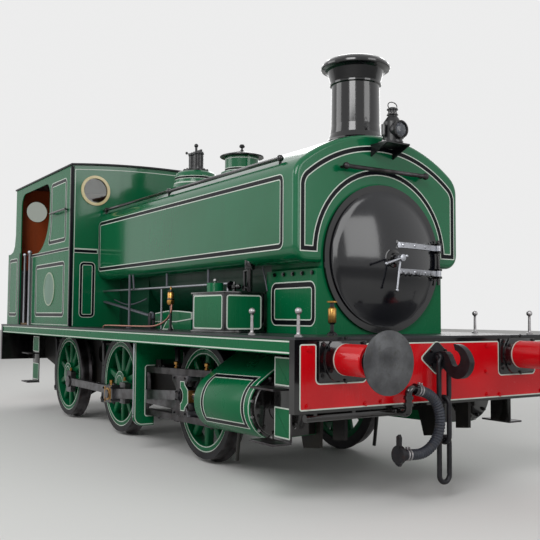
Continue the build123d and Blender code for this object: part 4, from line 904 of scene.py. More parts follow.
def lineCylinder(side, sign, settings):
    radius, turn = settings["radius"], math.radians(settings["turn"])
    slope = upright(driveX, 0, axleHeight) @ Matrix.Rotation(-motionLean, 4, "Y")

    def wrap(part):
        rising = [edge for edge in part.edges if abs(edge.verts[0].co.y - edge.verts[1].co.y) > 0.05]
        bmesh.ops.subdivide_edges(part, edges=rising, cuts=20, use_grid_fill=True)
        for vert in part.verts:
            along, around, proud = vert.co
            angle = min(around / radius, turn)
            over = max(around - radius * turn, 0)
            across = (radius + proud) * math.cos(angle) - over * math.sin(turn)
            up = (radius + proud) * math.sin(angle) + over * math.cos(turn)
            vert.co = slope @ Vector((along, sign * (motionY + across), up))

    bm = bmesh.new()
    low = radius * math.radians(settings["low"])
    panel = rectangle(settings["rear"], settings["front"], low, settings["top"])
    # the front edge band: white paint standing for a painted highlight on the cladding's rim
    edge = rectangle(3.355, 3.364, -radius * math.radians(104), radius * turn + 0.38)
    addPanel(bm, Matrix(), panel, lined, shape=wrap)
    addPanel(bm, Matrix(), edge, ((0.003, 0),), 0, shape=wrap)
    return finishPiece("cylinderLiningAndHighlight_" + side, bm, "whiteLine blackLine")


# each ring: radius outside and inside, and its distance from the middle
wheelRings = ((0.4555, 0.4465, 0.8052), (0.414, 0.406, 0.8052), (0.136, 0.129, 0.8122),
              (0.092, 0.085, 0.8162))


def lineWheel(name, axleX, rings):
    bm = bmesh.new()
    for _, sign in sides:
        for outer, inner, y in rings:
            addPanel(bm, sideWall(sign * y), circle=(axleX, axleHeight, outer), bands=((outer - inner, 0),),
                     steps=48, thick=0.0012)
    return finishPiece("wheelLining_" + name, bm, "whiteLine", "wheelset_" + name)


for side, sign in sides:
    lineCylinder(side, sign, cylinderSettings)
for axle, axleX in axles:
    lineWheel(axle, axleX, wheelRings)
print("round lining made")


def addBolts(bm, places, axis, radius, slot=0, height=None):
    for place in places:
        addBolt(bm, place, axis, radius, slot, height)


# smokebox door: dart, two handles, strap rivets and hinge nuts
def dressDoor(settings):
    bm = bmesh.new()
    height, dart = boilerHeight, settings["dart"]
    boss = aimed((3.17, 0, height), (1, 0, 0))
    addTurned(bm, boss, settings["boss"])
    addRound(bm, (3.23, 0, height), (dart, 0, height), 0.017, 1, steps=16)
    for reach, start, end in settings["handles"]:
        x = dart - reach
        low, high = (Vector((x, y, height + z)) for y, z in (start, end))
        addRound(bm, low, high, 0.011, 1, 0.009, 14)
        addBall(bm, low, 0.015, 1)
        addBall(bm, high, 0.015, 1)
        addRound(bm, (x - 0.012, 0, height), (x + 0.012, 0, height), 0.028, 1, steps=20, rounding=0.004)
    for strap in settings["straps"]:
        for y in settings["rivets"]:
            place = (crownX(math.hypot(y, strap - height)) + 0.011, y, strap)
            addRivet(bm, place, (1, 0.25 * y / 0.4, 0), 0.013, 1)
    finishPiece("doorHandles", bm, "blackPaint brightSteel", bodyOf("smokebox_door"))
    bm = bmesh.new()
    for strap in settings["straps"]:
        for way in (1, -1):
            addBolt(bm, (3.1355, 0.553, strap + way * 0.052), (0, 0, way), 0.016, 0, 0.008)
    return finishPiece("hingeNuts", bm, "blackPaint")


dressDoor(doorSettings)

# dome, filler and lid: rivets, lining and knob; each band is radius, foot, top, finish and steps
mountSettings = {
    "dome": -0.146, "filler": 0.882, "rivets": 10,
    "domeBands": ((0.238, 2.853, 2.860, 2, 48), (0.238, 2.832, 2.853, 1, 48), (0.238, 2.825, 2.832, 2, 48)),
    "fillerBands": ((0.175, 2.898, 2.906, 2), (0.175, 2.800, 2.807, 2), (0.175, 2.782, 2.800, 1),
                    (0.175, 2.775, 2.782, 2)),
    "knob": ((0.0, 2.988), (0.020, 2.990), (0.020, 3.006), (0.011, 3.012), (0.011, 3.030), (0.026, 3.036),
             (0.030, 3.052), (0.020, 3.066), (0.0, 3.070)),
}


def dressMountings(settings):
    bm = bmesh.new()
    dome, filler = (upright(settings[name], 0) for name in ("dome", "filler"))
    for x, y in ringOf(settings["rivets"], 0.196):
        addRivet(bm, (settings["filler"] + x, y, 2.764), (0, 0, 1), 0.009)
    for band in settings["domeBands"]:
        addBand(bm, dome, *band)
    addTurned(bm, dome, ((0.2472, 2.7915), (0.2530, 2.7755), (0.2540, 2.7770), (0.2485, 2.7925)), 2, 48)
    for band in settings["fillerBands"]:
        addBand(bm, filler, *band)
    finishPiece("mountingTrim", bm, "blackPaint blackLine whiteLine")
    bm = bmesh.new()
    addTurned(bm, filler, settings["knob"], 0, 20)
    addBand(bm, filler, 0.225, 2.930, 2.938, 0, 40, 0.003)
    return finishPiece("lidKnob", bm, "blackSatin", bodyOf("filler_lid"))


def dressValves(settings):
    bm = bmesh.new()
    for offset in (-0.056, 0.056):
        x = settings["dome"] + offset
        for number in range(9):
            low = 2.982 + number * 0.0155
            rib = ((0.054, low), (0.0605, low + 0.0015), (0.0605, low + 0.0065), (0.054, low + 0.008))
            addTurned(bm, upright(x, 0), rib, 0, 20)
        addBolts(bm, [(x + a, b, 3.156) for a, b in ringOf(6, 0.050)], (0, 0, 1), 0.007, 0, 0.005)
    foot = [(settings["dome"] + a, b, 2.952) for a, b in ringOf(12, 0.135, 0.5)]
    addBolts(bm, foot, (0, 0, 1), 0.010, 0, 0.009)
    start = Vector((settings["dome"] - 0.150, 0, 3.160))
    addRound(bm, start, start + Vector((-0.085, 0, 0.034)), 0.010, 0, 0.007, 12)
    addBall(bm, start + Vector((-0.090, 0, 0.036)), 0.017)
    return finishPiece("valveRibs", bm, "blackPaint")


dressMountings(mountSettings)
dressValves(mountSettings)

# headlamp: lens, rim, vent, side clips, feet and handle
lampSettings = {
    "x": 3.200, "face": 3.292, "lens": 2.752, "shelf": 2.655,
    "rim": ((0.056, -0.004), (0.070, -0.004), (0.073, 0.006), (0.070, 0.014), (0.060, 0.014), (0.056, 0.004)),
    "glass": ((0.0, 0.016), (0.020, 0.015), (0.040, 0.011), (0.055, 0.004)),
    "vent": ((0.034, 2.876), (0.046, 2.880), (0.046, 2.884), (0.034, 2.887)),
    "handle": ((-0.030, 2.925), (-0.055, 2.950), (-0.030, 2.985), (0.030, 2.985), (0.055, 2.950),
               (0.030, 2.925)),
}


def dressLamp(settings):
    bm = bmesh.new()
    x, shelf = settings["x"], settings["shelf"]
    face = aimed((settings["face"], 0, settings["lens"]), (1, 0, 0))
    addTurned(bm, face, settings["rim"], 0, 36)
    addTurned(bm, face, ((0.0, 0.0006), (0.056, 0.0008)), 2, 36)
    for a, b in ringOf(10, 0.0345):
        addBall(bm, (x + a, b, 2.895), 0.006, 1, steps=8)
    addTurned(bm, upright(x, 0), settings["vent"], 0, 24)
    for sign in (-1, 1):
        addBolt(bm, (3.245, sign * 0.05, shelf), (0, 0, 1), 0.011, 1)
        y = sign * 0.096
        addBlock(bm, (3.150, y - 0.011, shelf), (3.240, y + 0.011, shelf + 0.008), 1, 0.002)
        addBolt(bm, (3.195, y, shelf + 0.008), (0, 0, 1), 0.009, 1)
        y = sign * 0.094
        addBlock(bm, (3.180, y - 0.006, 2.700), (3.220, y + 0.006, 2.800), 0, 0.003)
        y = sign * 0.083
        for z in (2.705, 2.780):
            addBlock(bm, (3.190, y - 0.012, z), (3.210, y + 0.012, z + 0.015), 0, 0.002)
    finishPiece("lampTrim", bm, "blackPaint postSteel paleGrey")
    bm = bmesh.new()
    addTurned(bm, face, settings["glass"], 0, 36)
    finishPiece("lampLens", bm, "clearGlass")
    return addPipe("lampHandle", [(x, y, z) for y, z in settings["handle"]], 0.004, "blackPaint")


dressLamp(lampSettings)
print("top fittings made")

# buffer beams: bolt heads in the beam's red, plate bolts, barrel rings
beamSettings = {
    "bolts": ((0.524, 1.080), (0.518, 0.887), (0.527, 0.712), (0.666, 0.705), (1.140, 1.080), (1.150, 0.712)),
    "plate": (0.170, 0.104), "flange": 0.142, "buffer": (0.864, 1.009),
    "collar": ((0.104, 0.296), (0.109, 0.298), (0.109, 0.312), (0.104, 0.313)),
    "ram": ((0.078, 0.311), (0.092, 0.312), (0.092, 0.324), (0.0775, 0.326)),
}


def dressBeam(name, end, settings):
    bm = bmesh.new()
    out = (end, 0, 0)
    face = end * 3.665
    across, up = settings["plate"]
    for _, sign in sides:
        addBolts(bm, [(face, sign * y, z) for y, z in settings["bolts"]], out, 0.017, 0, 0.012)
        middleY, middleZ = sign * settings["buffer"][0], settings["buffer"][1]
        corners = [(a, b) for a in (-across, across) for b in (-up, up)]
        flange = ringOf(6, settings["flange"], 0.5)
        for ring, x, radius, height in ((corners, 0.014, 0.016, 0.012), (flange, 0.036, 0.014, 0.010)):
            places = [(face + end * x, middleY + a, middleZ + b) for a, b in ring]
            addBolts(bm, places, out, radius, 1, height)
        barrel = aimed((face, middleY, middleZ), out)
        addBand(bm, barrel, 0.105, 0.040, 0.049, 2)
        addTurned(bm, barrel, settings["collar"], 3, 40)
        addTurned(bm, barrel, settings["ram"], 1)
    hookPlate = [(face + end * 0.018, y, z) for y in (-0.070, 0.070) for z in (0.950, 1.050)]
    addBolts(bm, hookPlate, out, 0.013, 1, 0.010)
    return finishPiece(name, bm, "redPaint blackPaint whiteLine redPaint")


dressBeam("beamBolts_front", 1, beamSettings)
dressBeam("beamBolts_rear", -1, beamSettings)

# two clamps at each end of the front hose: place, and the way the hose runs there
clampSettings = {"start": ((3.765, -0.290, 0.790), (0, 1, -0.217)),
                 "end": ((3.765, -0.400, 0.3535), (0, -1, 0.10)),
                 "profile": ((0.0385, -0.006), (0.0415, -0.005), (0.0415, 0.005), (0.0385, 0.006))}


def dressHose(settings):
    bm = bmesh.new()
    for end, way in (("start", 1), ("end", -1)):
        place, direction = settings[end]
        run = Vector(direction).normalized()
        for reach in (0.012, 0.036):
            spot = aimed(Vector(place) + run * way * reach, run)
            addTurned(bm, spot, settings["profile"], 0, 28)
            addBlock(bm, (-0.010, 0.040, -0.005), (0.010, 0.054, 0.005), 0, 0.002, spot)
    return finishPiece("hoseClamps", bm, "postSteel")


dressHose(clampSettings)
print("beam fittings made")

# cylinders and slide bars: cover studs, rim bolts, gland nuts and oil cups
motionSettings = {
    "studs": 12,
    # place along the cylinder, ring, way, then bolt radius, finish and height
    "rings": {"rim": (3.376, 0.2165, 1, 0.012, 1, 0.010), "front": (3.416, 0.182, 1, 0.015, 0, 0.014),
              "rear": (2.485, 0.182, -1, 0.013, 0, 0.012), "gland": (2.385, 0.052, -1, 0.011, 1, 0.016)},
    "hub": ((0.0, 0.004), (0.026, 0.004), (0.030, -0.002), (0.092, -0.001), (0.0925, -0.004)),
    "cup": ((0.0, 0.0), (0.018, 0.002), (0.020, 0.016), (0.011, 0.020), (0.011, 0.028), (0.021, 0.034),
            (0.021, 0.056), (0.008, 0.064), (0.0, 0.066)),
    "bar": 0.228, "cups": (1.748, 2.323), "barEnds": (1.430, 2.440),
}


def alongCylinder(s, across, up, sign):
    # a place beside the cylinder's own rising line
    return Vector((driveX + s * math.cos(motionLean) - up * math.sin(motionLean), sign * (motionY + across),
                   axleHeight + s * math.sin(motionLean) + up * math.cos(motionLean)))


def dressCylinder(side, sign, settings):
    bm = bmesh.new()
    ahead = Vector((math.cos(motionLean), 0, math.sin(motionLean)))
    for number, (across, up) in enumerate(ringOf(settings["studs"], 1, 0.5)):
        taken = {"rear": across < 0 and abs(up) < 0.5, "gland": number % 3}
        for end, (s, ring, way, *size) in settings["rings"].items():
            if not taken.get(end):
                addBolt(bm, alongCylinder(s, ring * across, ring * up, sign), ahead * way, *size)
    addTurned(bm, aimed(alongCylinder(3.430, 0, 0, sign), ahead), settings["hub"], 0, 28)
    return finishPiece("cylinderTrim_" + side, bm, "blackPaint postSteel")


def dressBars(side, sign, settings):
    bm = bmesh.new()
    for s in settings["cups"]:
        addTurned(bm, upright(*alongCylinder(s, 0.0, settings["bar"], sign)), settings["cup"], 1, 16)
    for way in (1, -1):
        face = way * settings["bar"]
        bolts = [alongCylinder(s, a, face, sign) for s in settings["barEnds"] for a in (-0.022, 0.022)]
        addBolts(bm, bolts, (0, 0, way), 0.011, 0, 0.012)
    return finishPiece("barCups_" + side, bm, "wornSteel brassMetal")


for side, sign in sides:
    dressCylinder(side, sign, motionSettings)
    dressBars(side, sign, motionSettings)
print("cylinder fittings made")


# motion: crosshead plates, big end brasses, oil cups and bracket lining
def rodSwing(side):
    # the connecting rod's angle off the cylinder's line, and how far along that line its small end is
    turn = math.radians(crankAngles[side]) - motionLean
    drop = crankThrow * math.sin(turn)
    return math.asin(drop / rodLength), crankThrow * math.cos(turn) + math.sqrt(rodLength ** 2 - drop ** 2)


crossheadSettings = {
    "face": 0.0630, "half": 0.127, "back": 0.022, "cavity": 0.070,
    "hub": ((0.0, 0.012), (0.030, 0.012), (0.034, 0.0), (0.052, -0.0002), (0.054, -0.003)),
}


def dressCrosshead(side, sign, settings):
    _, pinAlong = rodSwing(side)
    cos, sin = math.cos(motionLean), math.sin(motionLean)
    face, half, back, cavity = (settings[key] for key in ("face", "half", "back", "cavity"))
    pin = alongCylinder(pinAlong, face + 0.0003, 0, sign)
    place = placed(pin, (cos, 0, sin), (-sin, 0, cos), (0, sign, 0))
    bm = bmesh.new()
    moves = [(0.098, half), (0.106, 0.100), (0.165, 0.056), (0.165, -0.056), (0.106, -0.100), (0.098, -half),
             (back, -half), (back, -math.sqrt(cavity ** 2 - back ** 2)),
             (0, 0, 2 * math.degrees(math.acos(back / cavity)))]
    addPanel(bm, place, pen=((back, half), moves, 18), bands=((0.007, 0),), centre=1, thick=0.004)
    strip = alongCylinder(pinAlong + 0.1575, 0, 0, sign)
    addBlock(bm, strip - Vector((0.012, 0.062, 0.050)), strip + Vector((0.012, 0.062, 0.050)), 2, 0.003)
    out = (0, sign, 0)
    addTurned(bm, aimed(alongCylinder(pinAlong, 0.0775, 0, sign), out), settings["hub"], 3, 24)
    hubBolts = [alongCylinder(pinAlong + a, 0.077, b, sign) for a, b in ringOf(4, 0.044, 0.5)]
    addBolts(bm, hubBolts, out, 0.010, 3, 0.010)
    slippers = [(s, up) for s in (0.105, -0.105) for up in (0.151, -0.151)]
    addBolts(bm, [alongCylinder(pinAlong + s, face, up, sign) for s, up in slippers], out, 0.011, 3, 0.008)
    return finishPiece("crossheadPlate_" + side, bm, "whiteLine panelGreen brassMetal forgedBlack",
                       bodyOf("crosshead_" + side))


rodSettings = {
    "bigEnd": 1.0432, "middle": 0.999, "top": 0.088,
    "collar": ((0.0455, 0.0), (0.066, 0.0), (0.066, 0.006), (0.0455, 0.008)),
    "bigCup": ((0.0, 0.0), (0.016, 0.0), (0.016, 0.020), (0.020, 0.024), (0.020, 0.050), (0.010, 0.058),
               (0.0, 0.060)),
    "smallCup": ((0.0, -0.004), (0.018, -0.002), (0.020, 0.018), (0.014, 0.022), (0.014, 0.034),
                 (0.008, 0.038), (0.0, 0.040)),
}


def dressRods(side, sign, settings):
    turn = math.radians(crankAngles[side])
    crank = Vector((crankThrow * math.cos(turn), 0, crankThrow * math.sin(turn)))
    pin = Vector((driveX, 0, axleHeight)) + crank
    slope = motionLean - rodSwing(side)[0]
    along = Vector((math.cos(slope), 0, math.sin(slope)))
    over = Vector((-math.sin(slope), 0, math.cos(slope)))
    out = Vector((0, sign, 0))
    face, middle = pin + out * settings["bigEnd"], pin + out * settings["middle"]
    bm = bmesh.new()
    for reach in (-0.078, 0.078):
        strap = placed(face + along * reach, along, -sign * over, along.cross(-sign * over))
        addBlock(bm, (-0.010, -0.080, -0.001), (0.010, 0.080, 0.004), 0, 0.0015, strap)
    addTurned(bm, aimed(face, out), settings["collar"], 0, 28)
    studs = [face + along * a + over * b for a in (-0.108, 0.108) for b in (-0.063, 0.063)]
    addBolts(bm, studs, out, 0.011, 1, 0.010)
    for way in (1, -1):
        ends = [middle + along * reach + over * way * settings["top"] for reach in (-0.060, 0.060)]
        addBolts(bm, ends, over * way, 0.013, 1, 0.014)
    addTurned(bm, aimed(middle + over * settings["top"], over), settings["bigCup"], 0, 18)
    finishPiece("bigEndFittings_" + side, bm, "brassMetal wornSteel", bodyOf("connecting_rod_" + side))
    bm = bmesh.new()
    for axle, axleX in axles:
        centre = Vector((axleX, 0, axleHeight)) + crank
        cup = aimed(centre + Vector((0, sign * 0.852, 0.130)), (0, 0, 1))
        addTurned(bm, cup, settings["smallCup"], 0, 16)
        if axle != "middle":
            caps = [centre + Vector((a, sign * 0.8825, b)) for a, b in ringOf(3, 0.050, turn / math.tau * 3)]
            addBolts(bm, caps, out, 0.008, 1, 0.006)
    return finishPiece("couplingCups_" + side, bm, "brassMetal wornSteel", bodyOf("coupling_rod_" + side))


# the bracket's two white lines, each corner with its radius
bracketSettings = {
    "inner": ((0.948, 0.335), (1.040, 0.335), (1.040, 0.823), (0.935, 0.823), (0.935, 0.814), (1.031, 0.814),
              (1.031, 0.344), (0.948, 0.344)),
    "innerRadii": (0, 0.030, 0.030, 0, 0, 0.021, 0.021, 0),
    "outer": ((0.948, 0.260), (1.141, 0.260), (1.141, 1.134), (1.132, 1.134), (1.132, 0.269), (0.948, 0.269)),
    "outerRadii": (0, 0.080, 0, 0, 0.071, 0),
}


def dressBracket(side, sign, settings):
    bm = bmesh.new()
    front = 0.8592
    for line in ("inner", "outer"):
        for place in (frontWall(front), frontWall(0.8288, -1)):
            addPanel(bm, place, [(sign * y, z) for y, z in settings[line]], centre=0,
                     radius=settings[line + "Radii"], steps=6)
    column = [(front, sign * 1.088, 0.38 + 0.11 * number) for number in range(7)]
    addBolts(bm, column, (1, 0, 0), 0.010, 2, 0.006)
    for z in (0.36, 1.09):
        for x in (0.836, 0.852):
            addRivet(bm, (x, sign * 1.1502, z), (0, sign, 0), 0.005, 1)
    return finishPiece("bracketLining_" + side, bm, "whiteLine wornSteel panelGreen")


# wheels: full spokes over the frame's, swelling towards the hub
spokeSettings = {"count": 10, "hub": 0.088, "rim": 0.062, "middle": 0.74675, "thick": 0.0675, "start": 0.095,
                 "length": 0.313, "rounding": 0.016}


def dressSpokes(axle, axleX, settings):
    bm = bmesh.new()
    count, hub, length = settings["count"], settings["hub"], settings["length"]
    size = upright(0, 0, length / 2) @ Matrix.Diagonal((hub, settings["thick"], length, 1))
    taper = (settings["rim"] / hub, 1, 1)
    for side, sign in sides:
        for x, z in ringOf(count, 1, crankAngles[side] * count / 360):
            ray = Vector((x, 0, z))
            start = Vector((axleX, sign * settings["middle"], axleHeight)) + ray * settings["start"]
            spoke = placed(start, (-z, 0, x), (0, 1, 0), ray)
            made = bmesh.ops.create_cube(bm, size=1, matrix=spoke @ size)["verts"]
            far = [vert for vert in made if (vert.co - start).dot(ray) > length / 2]
            bmesh.ops.scale(bm, verts=far, vec=taper, space=spoke.inverted())
            edges = [edge for edge in edgesOf(made)
                     if abs((edge.verts[0].co - edge.verts[1].co).normalized().dot(ray)) > 0.9]
            soften(bm, edges, settings["rounding"], 3)
    return finishPiece("spokes_" + axle, bm, "panelGreen", bodyOf("wheels_" + axle))


for axle, axleX in axles:
    dressSpokes(axle, axleX, spokeSettings)
print("spokes made")

for side, sign in sides:
    dressCrosshead(side, sign, crossheadSettings)
    dressRods(side, sign, rodSettings)
    dressBracket(side, sign, bracketSettings)
print("motion dressed")

# footplate: lubricator nuts, copper pipes, valve and tank pipes, all but the last few on both sides
footplateSettings = {
    "cup": (1.320, 1.000),
    "nuts": ((1.402, 1.430, 0.037, 0, 6, 0.002), (1.436, 1.450, 0.033, 1, 24, 0.003),
             (1.512, 1.519, 0.028, 1, 24, 0.002)),
    "boltHeads": (2.504, 2.631, 2.762, 2.889, 3.021),
    "oilPipe": ((1.340, 1.392), (1.344, 1.330), (1.270, 1.268), (1.170, 1.226), (1.040, 1.200),
                (0.900, 1.187), (0.386, 1.184), (-0.250, 1.184), (-0.330, 1.180), (-0.345, 1.158)),
    "base": ((0.0, 1.158), (0.040, 1.158), (0.040, 1.168), (0.0, 1.1685)),
    "valve": ((0.0, 1.487), (0.030, 1.487), (0.030, 1.494), (0.016, 1.498), (0.014, 1.512), (0.024, 1.520),
              (0.024, 1.545), (0.012, 1.552), (0.008, 1.575), (0.0, 1.578)),
    "valveWheel": ((0.0, 0.006), (0.034, 0.006), (0.038, 0.0), (0.034, -0.006), (0.0, -0.006)),
    "column": ((0.0, 1.500), (0.024, 1.502), (0.024, 1.540), (0.013, 1.546), (0.013, 1.668), (0.0, 1.670)),
    "foot": ((0.013, 1.158), (0.030, 1.158), (0.030, 1.170), (0.013, 1.174)),
    # start and end as x, distance from the middle and height, then radius, finish and steps
    "pipes": (((2.172, 0.865, 1.545), (2.300, 0.865, 1.532), 0.010, 0, 12),
              ((2.256, 0.780, 1.660), (2.330, 0.780, 1.672), 0.013, 0, 12),
              ((2.256, 0.780, 1.520), (2.330, 0.780, 1.520), 0.012, 0, 12),
              ((2.334, 0.655, 1.706), (2.396, 0.648, 1.499), 0.006, 1, 10),
              ((-0.115, 0.800, 1.158), (-0.115, 0.800, 1.730), 0.013, 1, 14),
              ((-0.020, 0.790, 1.571), (-0.028, 0.800, 1.726), 0.010, 1, 12)),
}


def dressFootplate(settings):
    cupX, cupY = settings["cup"]
    bm = bmesh.new()
    for _, sign in sides:
        y = sign * cupY
        for low, high, radius, slot, steps, rounding in settings["nuts"]:
            addRound(bm, (cupX, y, low), (cupX, y, high), radius, slot, steps=steps, rounding=rounding)
        heads = [(x, sign * 0.640, 1.625) for x in settings["boltHeads"]]
        addBolts(bm, heads, (0, sign, 0), 0.017, 1, 0.014)
    addTurned(bm, upright(3.300, -0.670), settings["base"], 1, 28)
    finishPiece("footplateTrim", bm, "brassMetal blackPaint panelGreen")
    for side, sign in sides:
        line = [(x, sign * cupY, z) for x, z in settings["oilPipe"]]
        addPipe("oilPipe_" + side, line, 0.010, "copperMetal")


def dressPipes(settings):
    bm = bmesh.new()
    for _, sign in sides:
        y = sign * 0.865
        addTurned(bm, upright(2.235, y), settings["valve"], 0, 20)
        addTurned(bm, aimed((2.172, y, 1.545), (1, 0, 0)), settings["valveWheel"], 0, 24)
        addBall(bm, (2.300, y, 1.532), 0.024)
        for *ends, radius, slot, steps in settings["pipes"]:
            start, end = ((x, sign * out, z) for x, out, z in ends)
            addRound(bm, start, end, radius, slot, steps=steps)
        y = sign * 0.780
        addTurned(bm, upright(2.256, y), settings["column"], 0, 18)
        flange = [(2.334 + a, y + sign * b, 1.678) for a, b in ringOf(6, 0.033)]
        addBolts(bm, flange, (0, 0, -1), 0.006, 0, 0.006)
        addTurned(bm, upright(-0.115, sign * 0.800), settings["foot"], 1, 18)
    for x in (0.728, 1.590):
        addRound(bm, (x, -0.760, 1.583), (x, -0.760, 1.712), 0.011, 1, steps=14)
    return finishPiece("pipeFittings", bm, "blackPaint leverGrey")


# right side only: the reversing rod with its bearing, and the thin rod slung inside it
leverSettings = {
    "start": (-0.979, -0.740, 1.450), "end": (0.330, -0.740, 1.288),
    "slung": ((-0.907, 1.474), (-0.700, 1.432), (-0.486, 1.408), (-0.240, 1.424), (0.005, 1.469)),
}


def dressLever(settings):
    addPipe("slungRod", [(x, -0.655, z) for x, z in settings["slung"]], 0.008, "leverGrey")
    bm = bmesh.new()
    start, end = Vector(settings["start"]), Vector(settings["end"])
    run = end - start
    addBlock(bm, (-0.024, -0.009, 0), (0.024, 0.009, run.length), 0, 0.003, aimed(start, run))
    for half, radius, slot, steps, rounding in ((0.012, 0.044, 0, 28, 0.003), (0.030, 0.018, 1, 20, 0.002)):
        reach = Vector((0, half, 0))
        addRound(bm, end - reach, end + reach, radius, slot, steps=steps, rounding=rounding)
    for y in (-0.763, -0.717):
        addBlock(bm, (0.300, y - 0.006, footplateTop), (0.360, y + 0.006, 1.318), 1, 0.004)
    addBlock(bm, (0.270, -0.780, footplateTop), (0.390, -0.700, 1.168), 1, 0.002)
    return finishPiece("reversingLever", bm, "leverGrey forgedBlack")


# weigh shaft bracket under the tank: its lined face, the bar behind and a gusset
shaftSettings = {
    "face": ((0.176, 1.224), (0.738, 1.229), (1.062, 1.258), (1.061, 1.328), (0.735, 1.343), (0.540, 1.344),
             (0.176, 1.313)),
    "gusset": ((0.949, 1.160), (1.166, 1.160), (1.100, 1.262), (1.060, 1.262)),
}


def dressShaft(settings):
    bm = bmesh.new()
    for _, sign in sides:
        addPanel(bm, sideWall(sign * 0.6352), settings["face"], ((0.010, 0),), 1, thick=0.020)
        near, far = sorted((sign * 0.610, sign * 0.650))
        addBlock(bm, (0.20, near, 1.156), (1.04, far, 1.262), 1, 0.003)
        addPanel(bm, sideWall(sign * 0.895), settings["gusset"], ((0.009, 0),), 1, thick=0.012)
    return finishPiece("weighShaftBracket", bm, "whiteLine panelGreen")


dressFootplate(footplateSettings)
dressPipes(footplateSettings)
dressLever(leverSettings)
dressShaft(shaftSettings)
print("footplate fittings made")

# works plate left blank, raised rim and screws
plateSettings = {"x": -1.735, "z": 1.607, "across": 0.205, "up": 0.112}


def makeWorksPlate(settings):
    bm = bmesh.new()
    x, z, across = settings["x"], settings["z"], settings["across"]
    oval = upright(x, z) @ Matrix.Diagonal((1, settings["up"] / across, 1, 1))
    rim = ((across - 0.016, 0.005), (across - 0.014, 0.009), (across - 0.003, 0.009), (across, 0.006),
           (across, -0.002))
    for _, sign in sides:
        place = sideWall(sign * 1.1735) @ oval
        addTurned(bm, place, ((0.0, 0.0055), (across - 0.016, 0.0055)), 1, 56)
        addTurned(bm, place, rim, 0, 56)
        for way in (-1, 1):
            addRivet(bm, (x + way * (across - 0.030), sign * 1.179, z), (0, sign, 0), 0.006)
    return finishPiece("worksPlate", bm, "plateRim plateField")


makeWorksPlate(plateSettings)


# drawhooks: pin bosses and nuts
def dressHook(name, end):
    bm = bmesh.new()
    x, z = end * 3.722, 1.003
    for sign in (-1, 1):
        boss = aimed((x, sign * 0.0252, z), (0, sign, 0))
        addTurned(bm, boss, ((0.0, 0.020), (0.026, 0.020), (0.034, 0.014), (0.036, 0.0)), 0, 28)
        addRound(bm, (x, sign * 0.044, z), (x, sign * 0.058, z), 0.018, 0, steps=6, rounding=0.002)
    return finishPiece(name, bm, "forgedBlack")


dressHook("hookBoss_front", 1)
dressHook("hookBoss_rear", -1)
print("plates and hook bosses made")

# cab: boiler back with its fittings, lockers, floor boards, brake pillar and reversing lever
cabSettings = {
    "face": -1.4502, "boards": 11, "rivets": 18, "seat": 1.62, "floor": 1.182,
    "back": ((0.0, 0.004), (0.536, 0.004), (0.552, 0.0), (0.560, -0.012), (0.560, -0.060)),
    "regulator": ((0.0, 0.070), (0.030, 0.068), (0.036, 0.060), (0.045, 0.030), (0.070, 0.016), (0.074, 0.0)),
    "gauges": ((-0.170, 2.420, 0.085), (0.080, 2.400, 0.075)),
    "pillar": ((0.0, 1.182), (0.090, 1.182), (0.090, 1.196), (0.040, 1.230), (0.030, 1.900), (0.044, 1.920),
               (0.040, 1.950), (0.016, 1.960), (0.016, 2.000), (0.0, 2.002)),
}


def dressBoilerBack(settings):
    face = settings["face"]
    bm = bmesh.new()
    addTurned(bm, aimed((face, 0, boilerHeight), (-1, 0, 0)), settings["back"], 0, 56)
    for y, z in ringOf(settings["rivets"], 0.520, 0.5):
        addRivet(bm, (face - 0.004, y, boilerHeight + z), (-1, 0, 0), 0.012)
    addBlock(bm, (face - 0.030, -0.190, 1.330), (face - 0.002, 0.190, 1.580), 0, 0.010)
    addRound(bm, (face - 0.034, 0, 1.455), (face - 0.020, 0, 1.455), 0.135, 1, steps=36, rounding=0.004)
    addBlock(bm, (face - 0.050, 0.060, 1.445), (face - 0.032, 0.200, 1.468), 2, 0.004)
    addTurned(bm, aimed((face, 0, 1.930), (-1, 0, 0)), settings["regulator"], 1, 28)
    handleX = face - 0.080
    addRound(bm, (handleX, 0.020, 1.915), (handleX, -0.270, 2.090), 0.014, 2, 0.010, 14)
    addBall(bm, (handleX, -0.272, 2.092), 0.022, 2)
    for y in (-0.300, 0.300):
        addRound(bm, (face - 0.055, y, 1.720), (face - 0.055, y, 2.010), 0.011, 4, steps=14)
        for z in (1.705, 2.015):
            addBlock(bm, (face - 0.075, y - 0.022, z - 0.020), (face, y + 0.022, z + 0.020), 3, 0.006)
            addRound(bm, (face - 0.075, y, z), (face - 0.110, y, z), 0.007, 3, steps=10)
            addBall(bm, (face - 0.112, y, z), 0.014, 1)
    for y, z, radius in settings["gauges"]:
        gauge = aimed((-1.000, y, z), (-1, 0, 0))
        rim = ((radius, 0.0), (radius, 0.045), (radius - 0.012, 0.050), (radius - 0.014, 0.042))
        addTurned(bm, gauge, rim, 3)
        addTurned(bm, gauge, ((0.0, 0.041), (radius - 0.013, 0.042)), 5)
        addRound(bm, (-1.043, y, z), (-1.043, y + 0.030, z + 0.040), 0.003, 1, steps=6)
    return finishPiece("boilerBack", bm, "cabDark forgedBlack brightSteel brassMetal clearGlass gaugeFace")


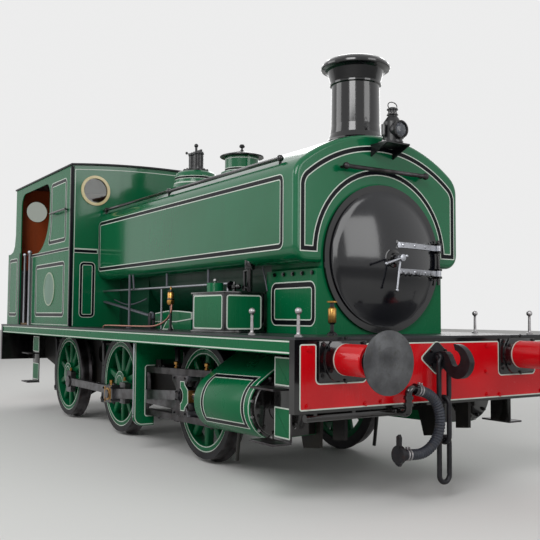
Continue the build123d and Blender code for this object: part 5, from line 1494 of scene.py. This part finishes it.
def fitCab(settings):
    seat, floor = settings["seat"], settings["floor"]
    bm = bmesh.new()
    for _, sign in sides:
        near, far = sorted((sign * 0.740, sign * 1.160))
        addBlock(bm, (-2.300, near, footplateTop), (-1.010, far, seat), 0, 0.006)
        near, far = sorted((sign * 0.715, sign * 1.160))
        addBlock(bm, (-2.320, near, seat), (-1.000, far, seat + 0.034), 1, 0.004)
    for number in range(settings["boards"]):
        y = -1.150 + number * 0.210
        addBlock(bm, (-3.050, y, 1.1585), (-1.020, y + 0.202, floor), 1, 0.002)
    finishPiece("cabLockers", bm, "paleGrey floorBoards")
    bm = bmesh.new()
    addTurned(bm, upright(-2.780, 0.560), settings["pillar"], 0, 24)
    addRound(bm, (-2.780, 0.440, 1.985), (-2.780, 0.680, 1.985), 0.012, 1, steps=14)
    addRound(bm, (-2.780, 0.675, 1.985), (-2.780, 0.675, 2.090), 0.012, 1, 0.016, 14)
    addBlock(bm, (-1.560, -0.700, floor), (-1.500, -0.660, 1.300), 0, 0.004)
    addRound(bm, (-1.530, -0.680, 1.280), (-1.620, -0.680, 2.020), 0.018, 1, 0.013, 16)
    addRound(bm, (-1.620, -0.680, 2.010), (-1.634, -0.680, 2.130), 0.019, 1, 0.016, 16, 0.004)
    return finishPiece("cabControls", bm, "blackPaint brightSteel")


dressBoilerBack(cabSettings)
fitCab(cabSettings)
print("cab fitted")

# studio: pale floor, soft lamps and a pale surround; each lamp is place, power and size
studioSettings = {
    "floor": (214, 214, 212), "surround": (236, 236, 236), "fill": 0.42, "aim": 1.5,
    "lamps": {"keyLamp": ((9, -9, 9), 900, 6), "sideLamp": ((-6, -12, 7), 500, 8),
              "rearLamp": ((-8, 9, 8), 420, 7), "frontLamp": ((13, 3, 5), 260, 5)},
}


def makeStudio(settings):
    bm = bmesh.new()
    bmesh.ops.create_grid(bm, x_segments=1, y_segments=1, size=60)
    mesh = bpy.data.meshes.new("floor")
    bm.to_mesh(mesh)
    bm.free()
    floor = linkObject("floor", mesh)
    pale = {"Base Color": tint(*settings["floor"]), "Roughness": 0.9}
    mesh.materials.append(startMaterial("floorPale", pale)[0])
    world = bpy.data.worlds.new("surround")
    bpy.context.scene.world = world
    world.use_nodes = True
    tree = world.node_tree
    background = tree.nodes["Background"]
    background.inputs["Color"].default_value = (1, 1, 1, 1)
    path = tree.nodes.new("ShaderNodeLightPath")
    seen = addMath(tree, "MAXIMUM", path.outputs["Is Camera Ray"], path.outputs["Is Transmission Ray"])
    seen = addMath(tree, "MAXIMUM", seen, path.outputs["Is Glossy Ray"])
    strength = addRange(tree, seen, 0, 1, settings["fill"], tint(*settings["surround"])[0])
    tree.links.new(strength, background.inputs["Strength"])
    for name, (place, power, size) in settings["lamps"].items():
        lamp = linkObject(name, bpy.data.lights.new(name, "AREA"))
        lamp.data.energy = power
        lamp.data.size = size
        lamp.matrix_world = aimed(place, Vector(place) - Vector((0, 0, settings["aim"])))


makeStudio(studioSettings)
bpy.context.scene.view_settings.view_transform = "Standard"
print("studio made")

print("all pieces made")
